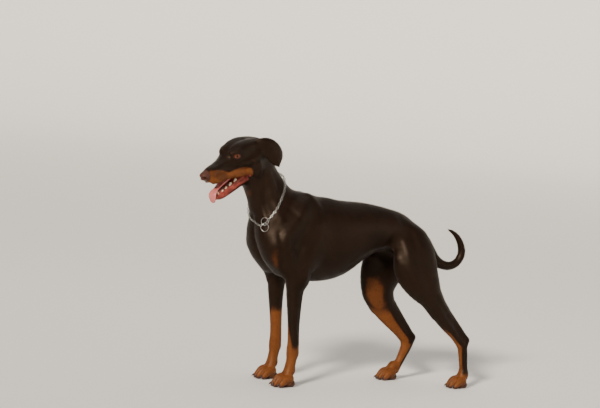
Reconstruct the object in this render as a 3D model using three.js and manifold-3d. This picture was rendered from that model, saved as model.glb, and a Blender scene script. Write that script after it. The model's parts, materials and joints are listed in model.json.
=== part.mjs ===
// Doberman pinscher, standing still with its mouth open, life size, in millimetres.
// The dog faces -X, its left side is -Y and +Z is up. Its soles lie on the floor at z = 0.
import * as THREE from 'three';
import { mergeVertices } from 'three/addons/utils/BufferGeometryUtils.js';
import Module from 'manifold-3d';

const wasm = await Module();
wasm.setup();
const { Manifold, Mesh } = wasm;

// Driving dimensions
const HALF_GAP = 0.15;
const SEAT_GAP = 0.35;
const MIDDLE = new THREE.Vector3(131.9, 2.4, 0);
const HEAD_PLACE = new THREE.Vector3(-181, 0, 832);
const HEAD_YAW = 22;
const HEAD_PITCH = 20.5;
const HEAD_ROLL = -2;
const JAW_OPENING = 15;
const JAW_HINGE = new THREE.Vector3(58, 0, -66);
const EYE_RADIUS = 12;
const EYE_PLACE = new THREE.Vector3(129, 31.5, -24);
const LID_THICKNESS = 2.1;
const EAR_THICKNESS = 3.6;
const COLLAR_THICKNESS = 4.2;
const COLLAR_STAND = 2;
const COLLAR_LINKS = 40;
const RING_RADIUS = 11.5;
const RING_THICKNESS = 3.2;

// Cell sizes of the faceted skins, coarse on the trunk and fine on the head
const TRUNK_CELL = [29, 26, 28];
const NECK_CELL = [23, 22, 22];
const THIGH_CELL = [20, 17, 22];
const LEG_CELL = [13, 13, 22];
const SHANK_CELL = [15, 13, 16];
const PAW_CELL = [10.5, 9.5, 9.5];
const TAIL_CELL = [16, 13, 16];
const HEAD_CELL = [11.5, 11, 11];
const JAW_CELL = [12.5, 10.5, 11.5];
const NOSE_CELL = [7, 7, 6.5];

// Colours
const COAT = { color: '#3a241b', roughness: 0.5 };
const RUST = { color: '#8a4a20', roughness: 0.6 };
const LEATHER = { color: '#4c3029', roughness: 0.45 };
const FLESH = { color: '#c9717a', roughness: 0.35 };
const EYE = { color: '#3b1f10', roughness: 0.1 };
const STEEL = { color: '#b9bcc0', roughness: 0.25, metalness: 1 };

const radians = THREE.MathUtils.degToRad;
const vector = (x, y, z) => new THREE.Vector3(x, y, z);

// A chain is a row of stations: x, y, z of the centre, half width across and half depth,
// joined by a smooth curve and swept with an oval section.
function smoothRow(stations, steps) {
  const row = [];
  const last = stations.length - 1;
  for (let i = 0; i < last; i += 1) {
    const b = stations[i];
    const c = stations[i + 1];
    const a = i > 0 ? stations[i - 1] : b.map((v, k) => 2 * v - c[k]);
    const d = i + 2 <= last ? stations[i + 2] : c.map((v, k) => 2 * v - b[k]);
    for (let j = 0; j < steps; j += 1) {
      const t = j / steps;
      row.push(b.map((_, k) => 0.5 * (2 * b[k] + (c[k] - a[k]) * t
        + (2 * a[k] - 5 * b[k] + 4 * c[k] - d[k]) * t * t
        + (3 * b[k] - a[k] - 3 * c[k] + d[k]) * t * t * t)));
    }
  }
  row.push(stations[last]);
  return row;
}

function chain(stations, { blend = 12, across = vector(0, 1, 0), steps = 4, place = null } = {}) {
  const side = across.clone();
  if (place) side.transformDirection(place);
  const row = smoothRow(stations, steps).map((s) => {
    const at = vector(s[0], s[1], s[2]);
    if (place) at.applyMatrix4(place);
    return { at, wide: s[3], deep: s[4] };
  });
  const box = new THREE.Box3();
  const pieces = [];
  for (let i = 0; i + 1 < row.length; i += 1) {
    const run = row[i + 1].at.clone().sub(row[i].at);
    const length = run.length();
    const along = run.normalize();
    const wide = side.clone().addScaledVector(along, -side.dot(along)).normalize();
    const deep = vector(0, 0, 0).crossVectors(along, wide);
    pieces.push({ from: row[i], to: row[i + 1], length, along, wide, deep });
  }
  for (const s of row) {
    box.expandByPoint(s.at.clone().addScalar(Math.max(s.wide, s.deep)));
    box.expandByPoint(s.at.clone().addScalar(-Math.max(s.wide, s.deep)));
  }
  box.expandByScalar(blend + 30);
  return { pieces, blend, box };
}

// Distance from a point to a chain's surface, negative inside
function chainDistance(shape, p) {
  let best = Infinity;
  for (const piece of shape.pieces) {
    const dx = p.x - piece.from.at.x;
    const dy = p.y - piece.from.at.y;
    const dz = p.z - piece.from.at.z;
    const run = dx * piece.along.x + dy * piece.along.y + dz * piece.along.z;
    const h = Math.min(Math.max(run / piece.length, 0), 1);
    const wide = piece.from.wide + (piece.to.wide - piece.from.wide) * h;
    const deep = piece.from.deep + (piece.to.deep - piece.from.deep) * h;
    const end = Math.min(wide, deep);
    const a = (dx * piece.wide.x + dy * piece.wide.y + dz * piece.wide.z) / wide;
    const b = (dx * piece.deep.x + dy * piece.deep.y + dz * piece.deep.z) / deep;
    const c = (run - h * piece.length) / end;
    const k0 = Math.sqrt(a * a + b * b + c * c);
    const k1 = Math.sqrt((a * a) / (wide * wide) + (b * b) / (deep * deep) + (c * c) / (end * end));
    const distance = k1 > 1e-9 ? (k0 * (k0 - 1)) / k1 : -end;
    best = Math.min(best, distance);
  }
  return best;
}

function blendUnion(a, b, width) {
  const h = Math.max(width - Math.abs(a - b), 0) / width;
  return Math.min(a, b) - (h * h * width) / 4;
}

function field(shapes) {
  return (p) => {
    let value = 1000;
    for (const shape of shapes) {
      if (shape.box.containsPoint(p)) value = blendUnion(value, chainDistance(shape, p), shape.blend);
    }
    return value;
  };
}

// Places in the head's own frame: x towards the nose, y to its left, z up, from the back of the skull
const headFrame = new THREE.Matrix4().makeRotationZ(radians(180 + HEAD_YAW))
  .multiply(new THREE.Matrix4().makeRotationY(radians(HEAD_PITCH)))
  .multiply(new THREE.Matrix4().makeRotationX(radians(HEAD_ROLL)))
  .setPosition(HEAD_PLACE);
const jawFrame = headFrame.clone()
  .multiply(new THREE.Matrix4().makeTranslation(JAW_HINGE.x, JAW_HINGE.y, JAW_HINGE.z))
  .multiply(new THREE.Matrix4().makeRotationY(radians(JAW_OPENING)))
  .multiply(new THREE.Matrix4().makeTranslation(-JAW_HINGE.x, -JAW_HINGE.y, -JAW_HINGE.z));

// Both sides of a row of stations, the left side in the body's frame being -Y
const mirrored = (stations) => stations.map(([x, y, z, wide, deep]) => [x, -y, z, wide, deep]);
const moved = (stations, dx) => stations.map(([x, y, z, wide, deep]) => [x + dx, y, z, wide, deep]);

// Trunk and neck
const trunk = [
  chain([
    [-95, 0, 505, 58, 62],
    [-50, 0, 500, 80, 108],
    [0, 0, 497, 90, 141],
    [60, 0, 492, 98, 145],
    [120, 0, 495, 102, 138],
    [185, 0, 514, 98, 112],
    [245, 0, 530, 88, 92],
    [310, 0, 534, 76, 77],
    [370, 0, 528, 70, 66],
    [425, 0, 500, 62, 56],
    [466, 0, 469, 48, 44],
  ], { blend: 30 }),
  chain([
    [-184, 0, 762, 42, 44],
    [-165, 0, 722, 48, 56],
    [-149, 0, 684, 52, 65],
    [-122, 0, 640, 58, 72],
    [-95, 0, 598, 67, 84],
    [-58, 0, 556, 78, 100],
    [-20, 0, 520, 84, 112],
  ], { blend: 40 }),
];

// Muscles of chest and shoulder, given for the left side
const chestMuscle = [
  [-98, -36, 575, 34, 40],
  [-110, -46, 515, 40, 48],
  [-100, -46, 455, 42, 46],
  [-66, -44, 405, 38, 38],
];
const shoulderBlade = [
  [20, -32, 612, 24, 34],
  [-10, -58, 575, 30, 46],
  [-58, -72, 520, 32, 46],
  [-98, -74, 478, 32, 40],
];
const upperArm = [
  [-98, -72, 476, 34, 42],
  [-64, -80, 430, 33, 46],
  [-32, -83, 385, 30, 42],
  [-22, -82, 350, 27, 36],
];
const triceps = [
  [40, -66, 530, 26, 40],
  [18, -78, 465, 27, 46],
  [-4, -82, 405, 24, 36],
  [-8, -82, 364, 18, 22],
];
const foreleg = [
  [-24, -82, 360, 28, 36],
  [-26, -82, 318, 25, 30],
  [-23, -81, 265, 21, 25],
  [-18, -79, 205, 18, 21],
  [-14, -78, 155, 18.5, 20.5],
  [-13, -78, 122, 19.5, 21],
  [-15, -78, 92, 17, 18.5],
  [-20, -78, 62, 18, 17.5],
  [-24, -78, 40, 18, 16],
];
// A paw faces -X from the middle of its heel: the pad and the two toes of its left half
const PAD = [[-4, 0, 12, 16, 15], [-22, 0, 15, 21, 19]];
const INNER_TOE = [
  [-22, 7.5, 33, 10, 15],
  [-43, 9.5, 32, 9.8, 13.5],
  [-58, 10, 16, 9.2, 12],
  [-65, 10, 6, 8, 9],
];
const OUTER_TOE = [
  [-12, 17, 30, 10, 14],
  [-31, 22.5, 28, 9.8, 13],
  [-46, 24.5, 15, 9.2, 11.5],
  [-52, 24.5, 6, 8, 9],
];
const CLAWS = [[-71, 10, 9], [-58, 25, 9]];
function pawShapes(x, y, size) {
  const rows = [PAD, ...[INNER_TOE, OUTER_TOE].flatMap((row) => [row, mirrored(row)])];
  return rows.map((row) => {
    const placed = row.map((s) => [x + s[0] * size, y + s[1] * size, ...s.slice(2).map((v) => v * size)]);
    return chain(placed, { blend: 6 });
  });
}

// Hind quarter, given for the left leg, which is stretched out behind
const leftThigh = [
  [418, -46, 512, 34, 54],
  [420, -66, 470, 42, 74],
  [424, -77, 415, 44, 80],
  [456, -82, 358, 40, 64],
  [495, -82, 310, 34, 41],
  [528, -80, 268, 27, 33],
];
const leftGaskin = [
  [498, -82, 306, 32, 38],
  [528, -80, 268, 27, 33],
  [562, -78, 228, 21, 27],
  [600, -76, 188, 16.5, 19],
  [628, -76, 156, 15, 17],
];
const leftHock = [
  [648, -76, 166, 12, 14],
  [638, -76, 146, 15, 18],
  [642, -76, 116, 14, 17],
  [648, -76, 75, 13.5, 15],
  [653, -76, 40, 15, 15.5],
];
const leftTendon = [
  [540, -80, 282, 16, 18],
  [602, -77, 222, 9.5, 12],
  [647, -76, 172, 8.5, 10.5],
];
const rightThigh = [
  [416, 46, 512, 34, 54],
  [412, 66, 470, 42, 74],
  [392, 80, 415, 46, 84],
  [376, 84, 362, 42, 76],
  [372, 84, 312, 36, 60],
  [392, 81, 262, 27, 46],
];
const rightGaskin = [
  [374, 84, 308, 33, 56],
  [396, 81, 260, 27, 45],
  [430, 78, 215, 21, 33],
  [466, 76, 176, 17, 24],
  [494, 76, 146, 16, 21],
];
const rightHock = [
  [520, 76, 150, 12, 14],
  [504, 76, 132, 16, 22],
  [494, 76, 104, 15, 19],
  [478, 76, 66, 13.5, 15.5],
  [464, 76, 36, 15, 16],
];
const rightTendon = [
  [430, 80, 262, 15, 18],
  [482, 77, 200, 10, 13],
  [518, 76, 155, 9, 11],
];
// Each paw: middle of the heel and size against the fore paw
const PAWS = {
  fore_left: [-6, -78, 1],
  fore_right: [2, 78, 1],
  hind_left: [658, -76, 0.93],
  hind_right: [462, 76, 0.93],
};
const tailRow = [
  [484, 0, 492, 30, 30],
  [510, 0, 462, 26, 26],
  [534, 0, 438, 21, 21],
  [562, 0, 421, 17.5, 17.5],
  [597, 0, 415, 15, 15],
  [627, 0, 429, 14, 14],
  [642, 0, 459, 13.5, 13.5],
  [634, 0, 495, 12, 12],
  [612, 0, 524, 8.5, 8.5],
  [581, 0, 542, 3.5, 3.5],
];

const tail = chain(tailRow, { blend: 14 });
const limb = { blend: 26 };
const foot = { blend: 10 };
const body = [
  ...trunk,
  ...[chestMuscle, mirrored(chestMuscle)].map((s) => chain(s, { blend: 30 })),
  ...[shoulderBlade, upperArm, triceps].flatMap((s) => [chain(s, limb), chain(mirrored(s), limb)]),
  chain(foreleg, foot),
  chain(moved(mirrored(foreleg), 8), foot),
  ...[leftThigh, rightThigh].map((s) => chain(s, { blend: 34 })),
  ...[leftGaskin, leftHock, leftTendon, rightGaskin, rightHock, rightTendon].map((s) => chain(s, foot)),
  ...Object.values(PAWS).flatMap((paw) => pawShapes(...paw)),
  tail,
];

// Head in its own frame
const inHead = (stations, blend = 12) => chain(stations, { blend, place: headFrame });
const inJaw = (stations, blend = 8) => chain(stations, { blend, place: jawFrame });
const bothSides = (stations, make, blend) => [make(stations, blend), make(mirrored(stations), blend)];
const skull = [
  inHead([
    [0, 0, -50, 34, 28],
    [22, 0, -45, 48, 37],
    [55, 0, -40, 54, 43],
    [90, 0, -37, 53, 45],
    [118, 0, -39, 46, 43],
    [140, 0, -50, 37, 37],
  ], 14),
  inHead([
    [132, 0, -58, 37, 37],
    [165, 0, -57, 32, 35],
    [200, 0, -60, 28, 31],
    [224, 0, -60, 25.5, 29],
    [238, 0, -60, 20, 25],
  ], 14),
  inHead([[236, 0, -53, 19, 19], [259, 0, -54, 17, 15.5]], 8),
  ...bothSides([
    [28, 24, -24, 20, 20],
    [62, 26, -15, 22, 22],
    [98, 24, -13, 21, 21],
    [120, 20, -18, 18, 18],
  ], inHead, 12),
  ...bothSides([
    [122, 38, -83, 9, 18],
    [155, 32, -78, 10, 15],
    [185, 27, -76, 10, 13.5],
    [215, 22, -75, 10, 15.5],
    [236, 15, -74, 9, 14],
  ], inHead, 8),
  ...bothSides([
    [140, 32, -50, 12, 12],
    [105, 48, -54, 12, 13],
    [70, 54, -50, 13, 14],
    [40, 48, -46, 12, 14],
  ], inHead, 12),
  ...bothSides([[88, 42, -82, 15, 28], [60, 44, -78, 16, 32]], inHead, 14),
  ...bothSides([[143, 22, -14, 10, 9], [122, 36, -13, 10, 9]], inHead, 10),
];
const jaw = [
  inJaw([
    [64, 0, -97, 40, 22],
    [100, 0, -102, 34, 24],
    [140, 0, -103, 28, 23],
    [180, 0, -101, 24, 21],
    [215, 0, -98, 20, 18.5],
    [238, 0, -91, 14, 13],
  ], 10),
];

// A closed solid from the coordinates of its corners and the corners of its triangles
function solidOf(places, faces) {
  const vertProperties = new Float32Array(places);
  const triVerts = new Uint32Array(faces);
  return new Manifold(new Mesh({ numProp: 3, vertProperties, triVerts }));
}

// Fills the notches finer than a cell where a faceted skin would touch itself at an edge or a corner
function settle(grid, count, stride) {
  const faces = [[0, 1], [1, 2], [2, 0]].map(([u, v]) => [stride[u], stride[v]]);
  let busy = true;
  while (busy) {
    busy = false;
    for (let k = 1; k + 1 < count[2]; k += 1) {
      for (let j = 1; j + 1 < count[1]; j += 1) {
        for (let i = 1; i + 1 < count[0]; i += 1) {
          const at = i + j * stride[1] + k * stride[2];
          for (const [u, v] of faces) {
            const [a, b, c, d] = [grid[at] < 0, grid[at + u] < 0, grid[at + u + v] < 0, grid[at + v] < 0];
            if (a === c && b === d && a !== b) {
              const open = a ? [at + u, at + v] : [at, at + u + v];
              const pick = grid[open[0]] < grid[open[1]] ? open[0] : open[1];
              grid[pick] = -0.5;
              busy = true;
            }
          }
          const far = stride[0] + stride[1] + stride[2];
          const ring = [];
          for (let m = 0; m < 8; m += 1) {
            ring.push(at + (m & 1) * stride[0] + ((m >> 1) & 1) * stride[1] + (m >> 2) * stride[2]);
          }
          const held = ring.filter((n) => grid[n] < 0);
          if (held.length === 2 && held[0] + held[1] === 2 * at + far) {
            const pair = ring.map((n, m) => [n, m]).filter(([n]) => grid[n] < 0).map(([, m]) => m);
            if (pair[0] + pair[1] === 7) {
              grid[ring[pair[0] ^ 1]] = -0.5;
              busy = true;
            }
          }
          if (held.length === 6) {
            const pair = ring.map((n, m) => [n, m]).filter(([n]) => grid[n] >= 0).map(([, m]) => m);
            if (pair[0] + pair[1] === 7 && (pair[0] ^ pair[1]) === 7) {
              grid[ring[pair[0]]] = -0.5;
              busy = true;
            }
          }
        }
      }
    }
  }
}

// A faceted skin of a field inside a box, with at most one corner in each cell
function skinOf(value, low, high, cell, grow = 0) {
  const count = [0, 1, 2].map((k) => Math.ceil((high[k] - low[k]) / cell[k]));
  const stride = [1, count[0] + 1, (count[0] + 1) * (count[1] + 1)];
  const grid = new Float64Array(stride[2] * (count[2] + 1));
  const p = vector(0, 0, 0);
  for (let k = 0; k <= count[2]; k += 1) {
    for (let j = 0; j <= count[1]; j += 1) {
      for (let i = 0; i <= count[0]; i += 1) {
        p.set(low[0] + i * cell[0], low[1] + j * cell[1], low[2] + k * cell[2]);
        const rim = i * j * k === 0 || i === count[0] || j === count[1] || k === count[2];
        const at = i + j * stride[1] + k * stride[2];
        grid[at] = rim ? Math.max(value(p), 0.3 * cell[0]) : value(p);
      }
    }
  }
  settle(grid, count, stride);
  const corners = [];
  const cornerOf = new Map();
  const slope = (q) => {
    const e = 0.4;
    const base = value(q);
    const g = vector(
      value(vector(q.x + e, q.y, q.z)) - base,
      value(vector(q.x, q.y + e, q.z)) - base,
      value(vector(q.x, q.y, q.z + e)) - base,
    ).divideScalar(e);
    return { base, g };
  };
  const cellCorner = (i, j, k) => {
    const key = i + j * stride[1] + k * stride[2];
    if (cornerOf.has(key)) return cornerOf.get(key);
    const sum = vector(0, 0, 0);
    let n = 0;
    for (let axis = 0; axis < 3; axis += 1) {
      const u = (axis + 1) % 3;
      const v = (axis + 2) % 3;
      for (let m = 0; m < 4; m += 1) {
        const from = [i, j, k];
        from[u] += m & 1;
        from[v] += m >> 1;
        const a = from[0] + from[1] * stride[1] + from[2] * stride[2];
        const fa = grid[a];
        const fb = grid[a + stride[axis]];
        if ((fa < 0) !== (fb < 0)) {
          const place = [...from];
          place[axis] += fa / (fa - fb);
          sum.add(vector(...place));
          n += 1;
        }
      }
    }
    sum.divideScalar(n);
    const q = vector(low[0] + sum.x * cell[0], low[1] + sum.y * cell[1], low[2] + sum.z * cell[2]);
    const floor = vector(low[0] + i * cell[0], low[1] + j * cell[1], low[2] + k * cell[2]);
    const ceiling = floor.clone().add(vector(...cell));
    for (let round = 0; round < 3; round += 1) {
      const { base, g } = slope(q);
      const steep = g.lengthSq();
      if (Math.abs(base) > cell[0] || steep < 0.01) break;
      q.addScaledVector(g, -base / steep).clamp(floor, ceiling);
    }
    if (grow) {
      const { g } = slope(q);
      q.addScaledVector(g.normalize(), grow);
    }
    corners.push(q);
    cornerOf.set(key, corners.length - 1);
    return corners.length - 1;
  };
  const faces = [];
  for (let k = 0; k < count[2]; k += 1) {
    for (let j = 0; j < count[1]; j += 1) {
      for (let i = 0; i < count[0]; i += 1) {
        for (let axis = 0; axis < 3; axis += 1) {
          const at = i + j * stride[1] + k * stride[2];
          const inside = grid[at] < 0;
          const u = (axis + 1) % 3;
          const v = (axis + 2) % 3;
          const within = [i, j, k][u] > 0 && [i, j, k][v] > 0;
          if (within && inside !== grid[at + stride[axis]] < 0) {
            const ring = [[1, 1], [0, 1], [0, 0], [1, 0]].map(([du, dv]) => {
              const from = [i, j, k];
              from[u] -= du;
              from[v] -= dv;
              return cellCorner(...from);
            });
            if (!inside) ring.reverse();
            const [a, b, c, d] = ring;
            if (corners[a].distanceToSquared(corners[c]) < corners[b].distanceToSquared(corners[d])) {
              faces.push(a, b, c, a, c, d);
            } else {
              faces.push(b, c, d, b, d, a);
            }
          }
        }
      }
    }
  }
  return solidOf(corners.flatMap((q) => [q.x, q.y, q.z]), faces);
}

function toSolid(geometry) {
  const bare = geometry.clone();
  bare.deleteAttribute('normal');
  bare.deleteAttribute('uv');
  const merged = mergeVertices(bare, 1e-4);
  const index = merged.index.array;
  const faces = [];
  for (let i = 0; i < index.length; i += 3) {
    const [a, b, c] = [index[i], index[i + 1], index[i + 2]];
    if (a !== b && b !== c && a !== c) faces.push(a, b, c);
  }
  return solidOf(merged.attributes.position.array, faces);
}

// Closed skin over rows of points, each row running once round; flat strips close both ends
function sleeve(rows, closed = false) {
  const round = rows[0].length;
  const places = rows.flatMap((row) => row.flatMap((q) => [q.x, q.y, q.z]));
  const faces = [];
  for (let i = 0; i + (closed ? 0 : 1) < rows.length; i += 1) {
    const far = (i + 1) % rows.length;
    for (let j = 0; j < round; j += 1) {
      const next = (j + 1) % round;
      const [a, b, c, d] = [i * round + j, i * round + next, far * round + next, far * round + j];
      faces.push(a, b, c, a, c, d);
    }
  }
  const top = (rows.length - 1) * round;
  for (let j = 0; j + 1 < round / 2 && !closed; j += 1) {
    const [a, b, c, d] = [j, j + 1, round - 2 - j, round - 1 - j];
    const flat = b === c;
    faces.push(a, c, b, top + a, top + b, top + c);
    if (!flat) faces.push(a, d, c, top + a, top + c, top + d);
  }
  return solidOf(places, faces);
}

// A chain as a plain swept solid of few sides
function sweep(stations, sides, steps, { place = null, grow = 0 } = {}) {
  const shape = chain(stations, { steps, place });
  const rows = [...shape.pieces, shape.pieces.at(-1)].map((piece, i) => {
    const end = i === shape.pieces.length ? piece.to : piece.from;
    const stretch = i === 0 ? -grow : grow * (i === shape.pieces.length);
    return Array.from({ length: sides }, (_, j) => {
      const turn = (2 * Math.PI * (j + 0.5)) / sides;
      return end.at.clone()
        .addScaledVector(piece.along, stretch)
        .addScaledVector(piece.wide, Math.cos(turn) * (end.wide + grow))
        .addScaledVector(piece.deep, Math.sin(turn) * (end.deep + grow));
    });
  });
  return sleeve(rows);
}

// A big block with one face on a plane: the plane's near side is kept by an intersection
const BLOCK = 1600;
function halfSpace(point, outward) {
  const normal = outward.clone().normalize();
  const turn = new THREE.Quaternion().setFromUnitVectors(vector(0, 0, 1), normal);
  const block = new THREE.BoxGeometry(BLOCK, BLOCK, BLOCK);
  block.translate(0, 0, -BLOCK / 2 - HALF_GAP);
  block.applyQuaternion(turn).translate(point.x, point.y, point.z);
  return toSolid(block);
}
const beyond = (point, outward) => halfSpace(point, outward.clone().negate());

// Sections where a person would part the body
const NECK_TOP = [vector(-176, 0, 722), vector(-0.66, 0, 0.75)];
const NECK_ROOT = [vector(-80, 0, 590), vector(-0.62, 0, 0.79)];
const CHEST_END = [vector(150, 0, 500), vector(1, 0, 0)];
const LOIN_END = [vector(318, 0, 520), vector(1, 0, 0.1)];
const ELBOW_TOP = [vector(-30, 0, 377), vector(0.1, 0, 1)];
const WRIST = [vector(-14, 0, 92), vector(-0.1, 0, 1)];
const GROIN = [vector(400, 0, 447), vector(-0.15, 0, 1)];
const LEFT_KNEE = [vector(500, 0, 290), vector(-0.7, 0, 0.72)];
const LEFT_HOCK = [vector(640, 0, 138), vector(-0.1, 0, 1)];
const LEFT_TOES = [vector(654, 0, 46), vector(-0.2, 0, 1)];
const RIGHT_KNEE = [vector(378, 0, 288), vector(-0.45, 0, 0.9)];
const RIGHT_HOCK = [vector(500, 0, 120), vector(0.3, 0, 1)];
const RIGHT_TOES = [vector(462, 0, 46), vector(0.3, 0, 1)];
const TAIL_TURN = [vector(606, 0, 416), vector(1, 0, 0.15)];
const TAIL_TIP_LOW = 480;
const FLOOR = [vector(0, 0, -HALF_GAP), vector(0, 0, -1)];
const ARMPIT = 47;
const CROTCH = 2;

const group = new THREE.Group();
const model = new THREE.Group();
model.position.copy(MIDDLE).negate();
group.add(model);

function addNode(name, solid, look) {
  const biggest = solid.decompose().reduce((a, b) => (b.volume() > a.volume() ? b : a));
  const mesh = biggest.getMesh();
  const geometry = new THREE.BufferGeometry();
  geometry.setAttribute('position', new THREE.BufferAttribute(new Float32Array(mesh.vertProperties), 3));
  geometry.setIndex(new THREE.BufferAttribute(new Uint32Array(mesh.triVerts), 1));
  geometry.computeVertexNormals();
  const node = new THREE.Mesh(geometry, new THREE.MeshStandardMaterial({ metalness: 0, ...look }));
  node.name = name;
  model.add(node);
}

const flesh = field(body.filter((shape) => shape !== tail));
const cutBy = (solid, ...halves) => halves.reduce((a, half) => a.intersect(half), solid);

function withClaws(solid, [x, y, size]) {
  return CLAWS.flatMap(([dx, dy, dz]) => [[dx, dy, dz], [dx, -dy, dz]]).reduce((all, [dx, dy, dz]) => {
    const claw = new THREE.ConeGeometry(3.4 * size, 17 * size, 4);
    claw.rotateZ(Math.PI / 2 + 0.45);
    claw.translate(x + dx * size, y + dy * size, dz * size);
    return all.add(toSolid(claw));
  }, solid);
}

const THIGH_LOW = [240, -150, 180];
const THIGH_HIGH = [640, 150, 520];
const TRUNK_BOX = [[-230, -165, 320], [560, 165, 720]];
function addTrunk() {
  const whole = skinOf(flesh, ...TRUNK_BOX, TRUNK_CELL);
  const elbow = ELBOW_TOP[0].clone().addScaledVector(ELBOW_TOP[1], 2 * HALF_GAP);
  const foreleg = (side) => halfSpace(elbow, ELBOW_TOP[1])
    .intersect(halfSpace(vector(0, side * (ARMPIT - 2 * HALF_GAP), 0), vector(0, -side, 0)))
    .intersect(halfSpace(vector(120, 0, 0), vector(1, 0, 0)));
  const chest = cutBy(whole, halfSpace(...NECK_ROOT), halfSpace(...CHEST_END))
    .subtract(foreleg(-1)).subtract(foreleg(1));
  addNode('chest', chest, COAT);
  const groin = GROIN[0].clone().addScaledVector(GROIN[1], 2 * HALF_GAP);
  const flank = halfSpace(groin, GROIN[1])
    .intersect(beyond(vector(THIGH_LOW[0] - 4 * HALF_GAP, 0, 0), vector(1, 0, 0)));
  addNode('loin', cutBy(whole, beyond(...CHEST_END), halfSpace(...LOIN_END)).subtract(flank), COAT);
  addNode('rump', cutBy(whole, beyond(...LOIN_END), beyond(...GROIN)), COAT);
}

function addNeck() {
  const whole = skinOf(flesh, [-270, -130, 500], [40, 130, 850], NECK_CELL);
  const bare = cutBy(whole, beyond(...NECK_ROOT), halfSpace(...NECK_TOP));
  addNode('neck', bare.subtract(collarSolid(SEAT_GAP)), COAT);
}

function addForelegs() {
  for (const [name, side, shift] of [['left', -1, 0], ['right', 1, 8]]) {
    const box = side < 0 ? [[-130, -140, 60], [90, -30, 420]] : [[-130, 30, 60], [90, 140, 420]];
    const leg = skinOf(flesh, ...box, LEG_CELL);
    const inner = halfSpace(vector(0, side * ARMPIT, 0), vector(0, -side, 0));
    addNode(`foreleg_${name}`, cutBy(leg, halfSpace(...ELBOW_TOP), beyond(...WRIST), inner), COAT);
    const low = [-100 + shift, side < 0 ? -120 : 36, -20];
    const paw = skinOf(flesh, low, [30 + shift, low[1] + 84, 130], PAW_CELL);
    const clawed = withClaws(paw, PAWS[`fore_${name}`]);
    addNode(`forepaw_${name}`, cutBy(clawed, halfSpace(...WRIST), halfSpace(...FLOOR)), RUST);
  }
}

function addHindLegs() {
  const legs = [
    ['left', -1, LEFT_KNEE, LEFT_HOCK, LEFT_TOES, 570],
    ['right', 1, RIGHT_KNEE, RIGHT_HOCK, RIGHT_TOES, 370],
  ];
  const thighs = skinOf(flesh, THIGH_LOW, THIGH_HIGH, THIGH_CELL);
  for (const [name, side, knee, hock, toes, pawLow] of legs) {
    const half = halfSpace(vector(0, side * CROTCH, 0), vector(0, -side, 0));
    addNode(`thigh_${name}`, cutBy(thighs, halfSpace(...GROIN), beyond(...knee), half), COAT);
    const [inner, outer] = side < 0 ? [-130, -30] : [30, 130];
    const shank = skinOf(flesh, [260, inner, 20], [700, outer, 360], SHANK_CELL);
    addNode(`gaskin_${name}`, cutBy(shank, halfSpace(...knee), beyond(...hock)), COAT);
    addNode(`hock_${name}`, cutBy(shank, halfSpace(...hock), beyond(...toes)), RUST);
    const low = [pawLow, side < 0 ? -118 : 34, -20];
    const paw = skinOf(flesh, low, [pawLow + 120, low[1] + 84, 90], PAW_CELL);
    const clawed = withClaws(paw, PAWS[`hind_${name}`]);
    addNode(`hindpaw_${name}`, cutBy(clawed, halfSpace(...toes), halfSpace(...FLOOR)), RUST);
  }
}

function addTail() {
  const whole = skinOf(field([tail]), [440, -60, 380], [680, 60, 570], TAIL_CELL);
  const free = whole
    .subtract(skinOf(flesh, ...TRUNK_BOX, TRUNK_CELL, SEAT_GAP))
    .subtract(skinOf(flesh, THIGH_LOW, THIGH_HIGH, THIGH_CELL, SEAT_GAP));
  const tip = halfSpace(vector(0, 0, TAIL_TIP_LOW), vector(0, 0, -1));
  addNode('tail_root', cutBy(free, halfSpace(...TAIL_TURN)).subtract(tip), COAT);
  addNode('tail_end', cutBy(free, beyond(...TAIL_TURN)), COAT);
}

// Head: everything above the jaw's own block, with the mouth's hollow, the sockets and the nostrils cut in
const JAW_BLOCK = { low: vector(90, -70, -145), high: vector(300, 70, -74) };
function block(low, high, grow, place) {
  const size = high.clone().sub(low).addScalar(2 * grow);
  const box = new THREE.BoxGeometry(size.x, size.y, size.z);
  box.translate((low.x + high.x) / 2, (low.y + high.y) / 2, (low.z + high.z) / 2);
  return toSolid(box.applyMatrix4(place));
}

const MOUTH = [
  [94, 0, -86, 22, 9],
  [140, 0, -84, 24, 14],
  [185, 0, -84, 21, 14],
  [220, 0, -83, 17, 12],
  [240, 0, -82, 10, 9],
];
const TONGUE = [
  [112, 0, -73, 13, 5.5],
  [150, 0, -70, 15, 5.5],
  [195, 0, -67, 14, 5],
  [224, 0, -66, 11.5, 4.5],
  [234, 0, -67, 14.5, 4.3],
  [244, 0, -71, 16.5, 4],
  [251, 0, -81, 14.5, 3.4],
  [252, 0, -90, 8, 2.2],
];
const TONGUE_SIDES = 8;

// Teeth: place along the jaw, place across, height and root radius
const UPPER_TEETH = [
  [244, 4, 9, 2.4],
  [241, 10, 10, 2.8],
  [232, 15.5, 19, 4],
  [196, 21, 9, 4],
  [174, 23.5, 12, 5],
];
const LOWER_TEETH = [
  [243, 3.5, 7, 2.2],
  [239.5, 9, 8, 2.6],
  [229, 14, 17, 3.8],
  [206, 18, 8, 3.4],
  [186, 19.5, 10, 4.2],
  [162, 21.5, 11, 5],
];
const TOOTH_ROOT = 5;
function tooth([x, y, height, radius], side, gum, up, place) {
  const cone = new THREE.ConeGeometry(radius, height + TOOTH_ROOT, 4);
  cone.rotateX(up * Math.PI / 2);
  cone.translate(x, side * y, gum + up * (height - TOOTH_ROOT) / 2);
  return toSolid(cone.applyMatrix4(place));
}
function withTeeth(solid, teeth, gum, up, place) {
  const pair = (one) => tooth(one, 1, gum, up, place).add(tooth(one, -1, gum, up, place));
  return teeth.reduce((all, one) => all.add(pair(one)), solid);
}

function ball(radius, side) {
  const sphere = new THREE.SphereGeometry(radius, 12, 8);
  sphere.rotateX(Math.PI / 2);
  sphere.translate(EYE_PLACE.x, side * EYE_PLACE.y, EYE_PLACE.z);
  return toSolid(sphere.applyMatrix4(headFrame));
}

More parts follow.
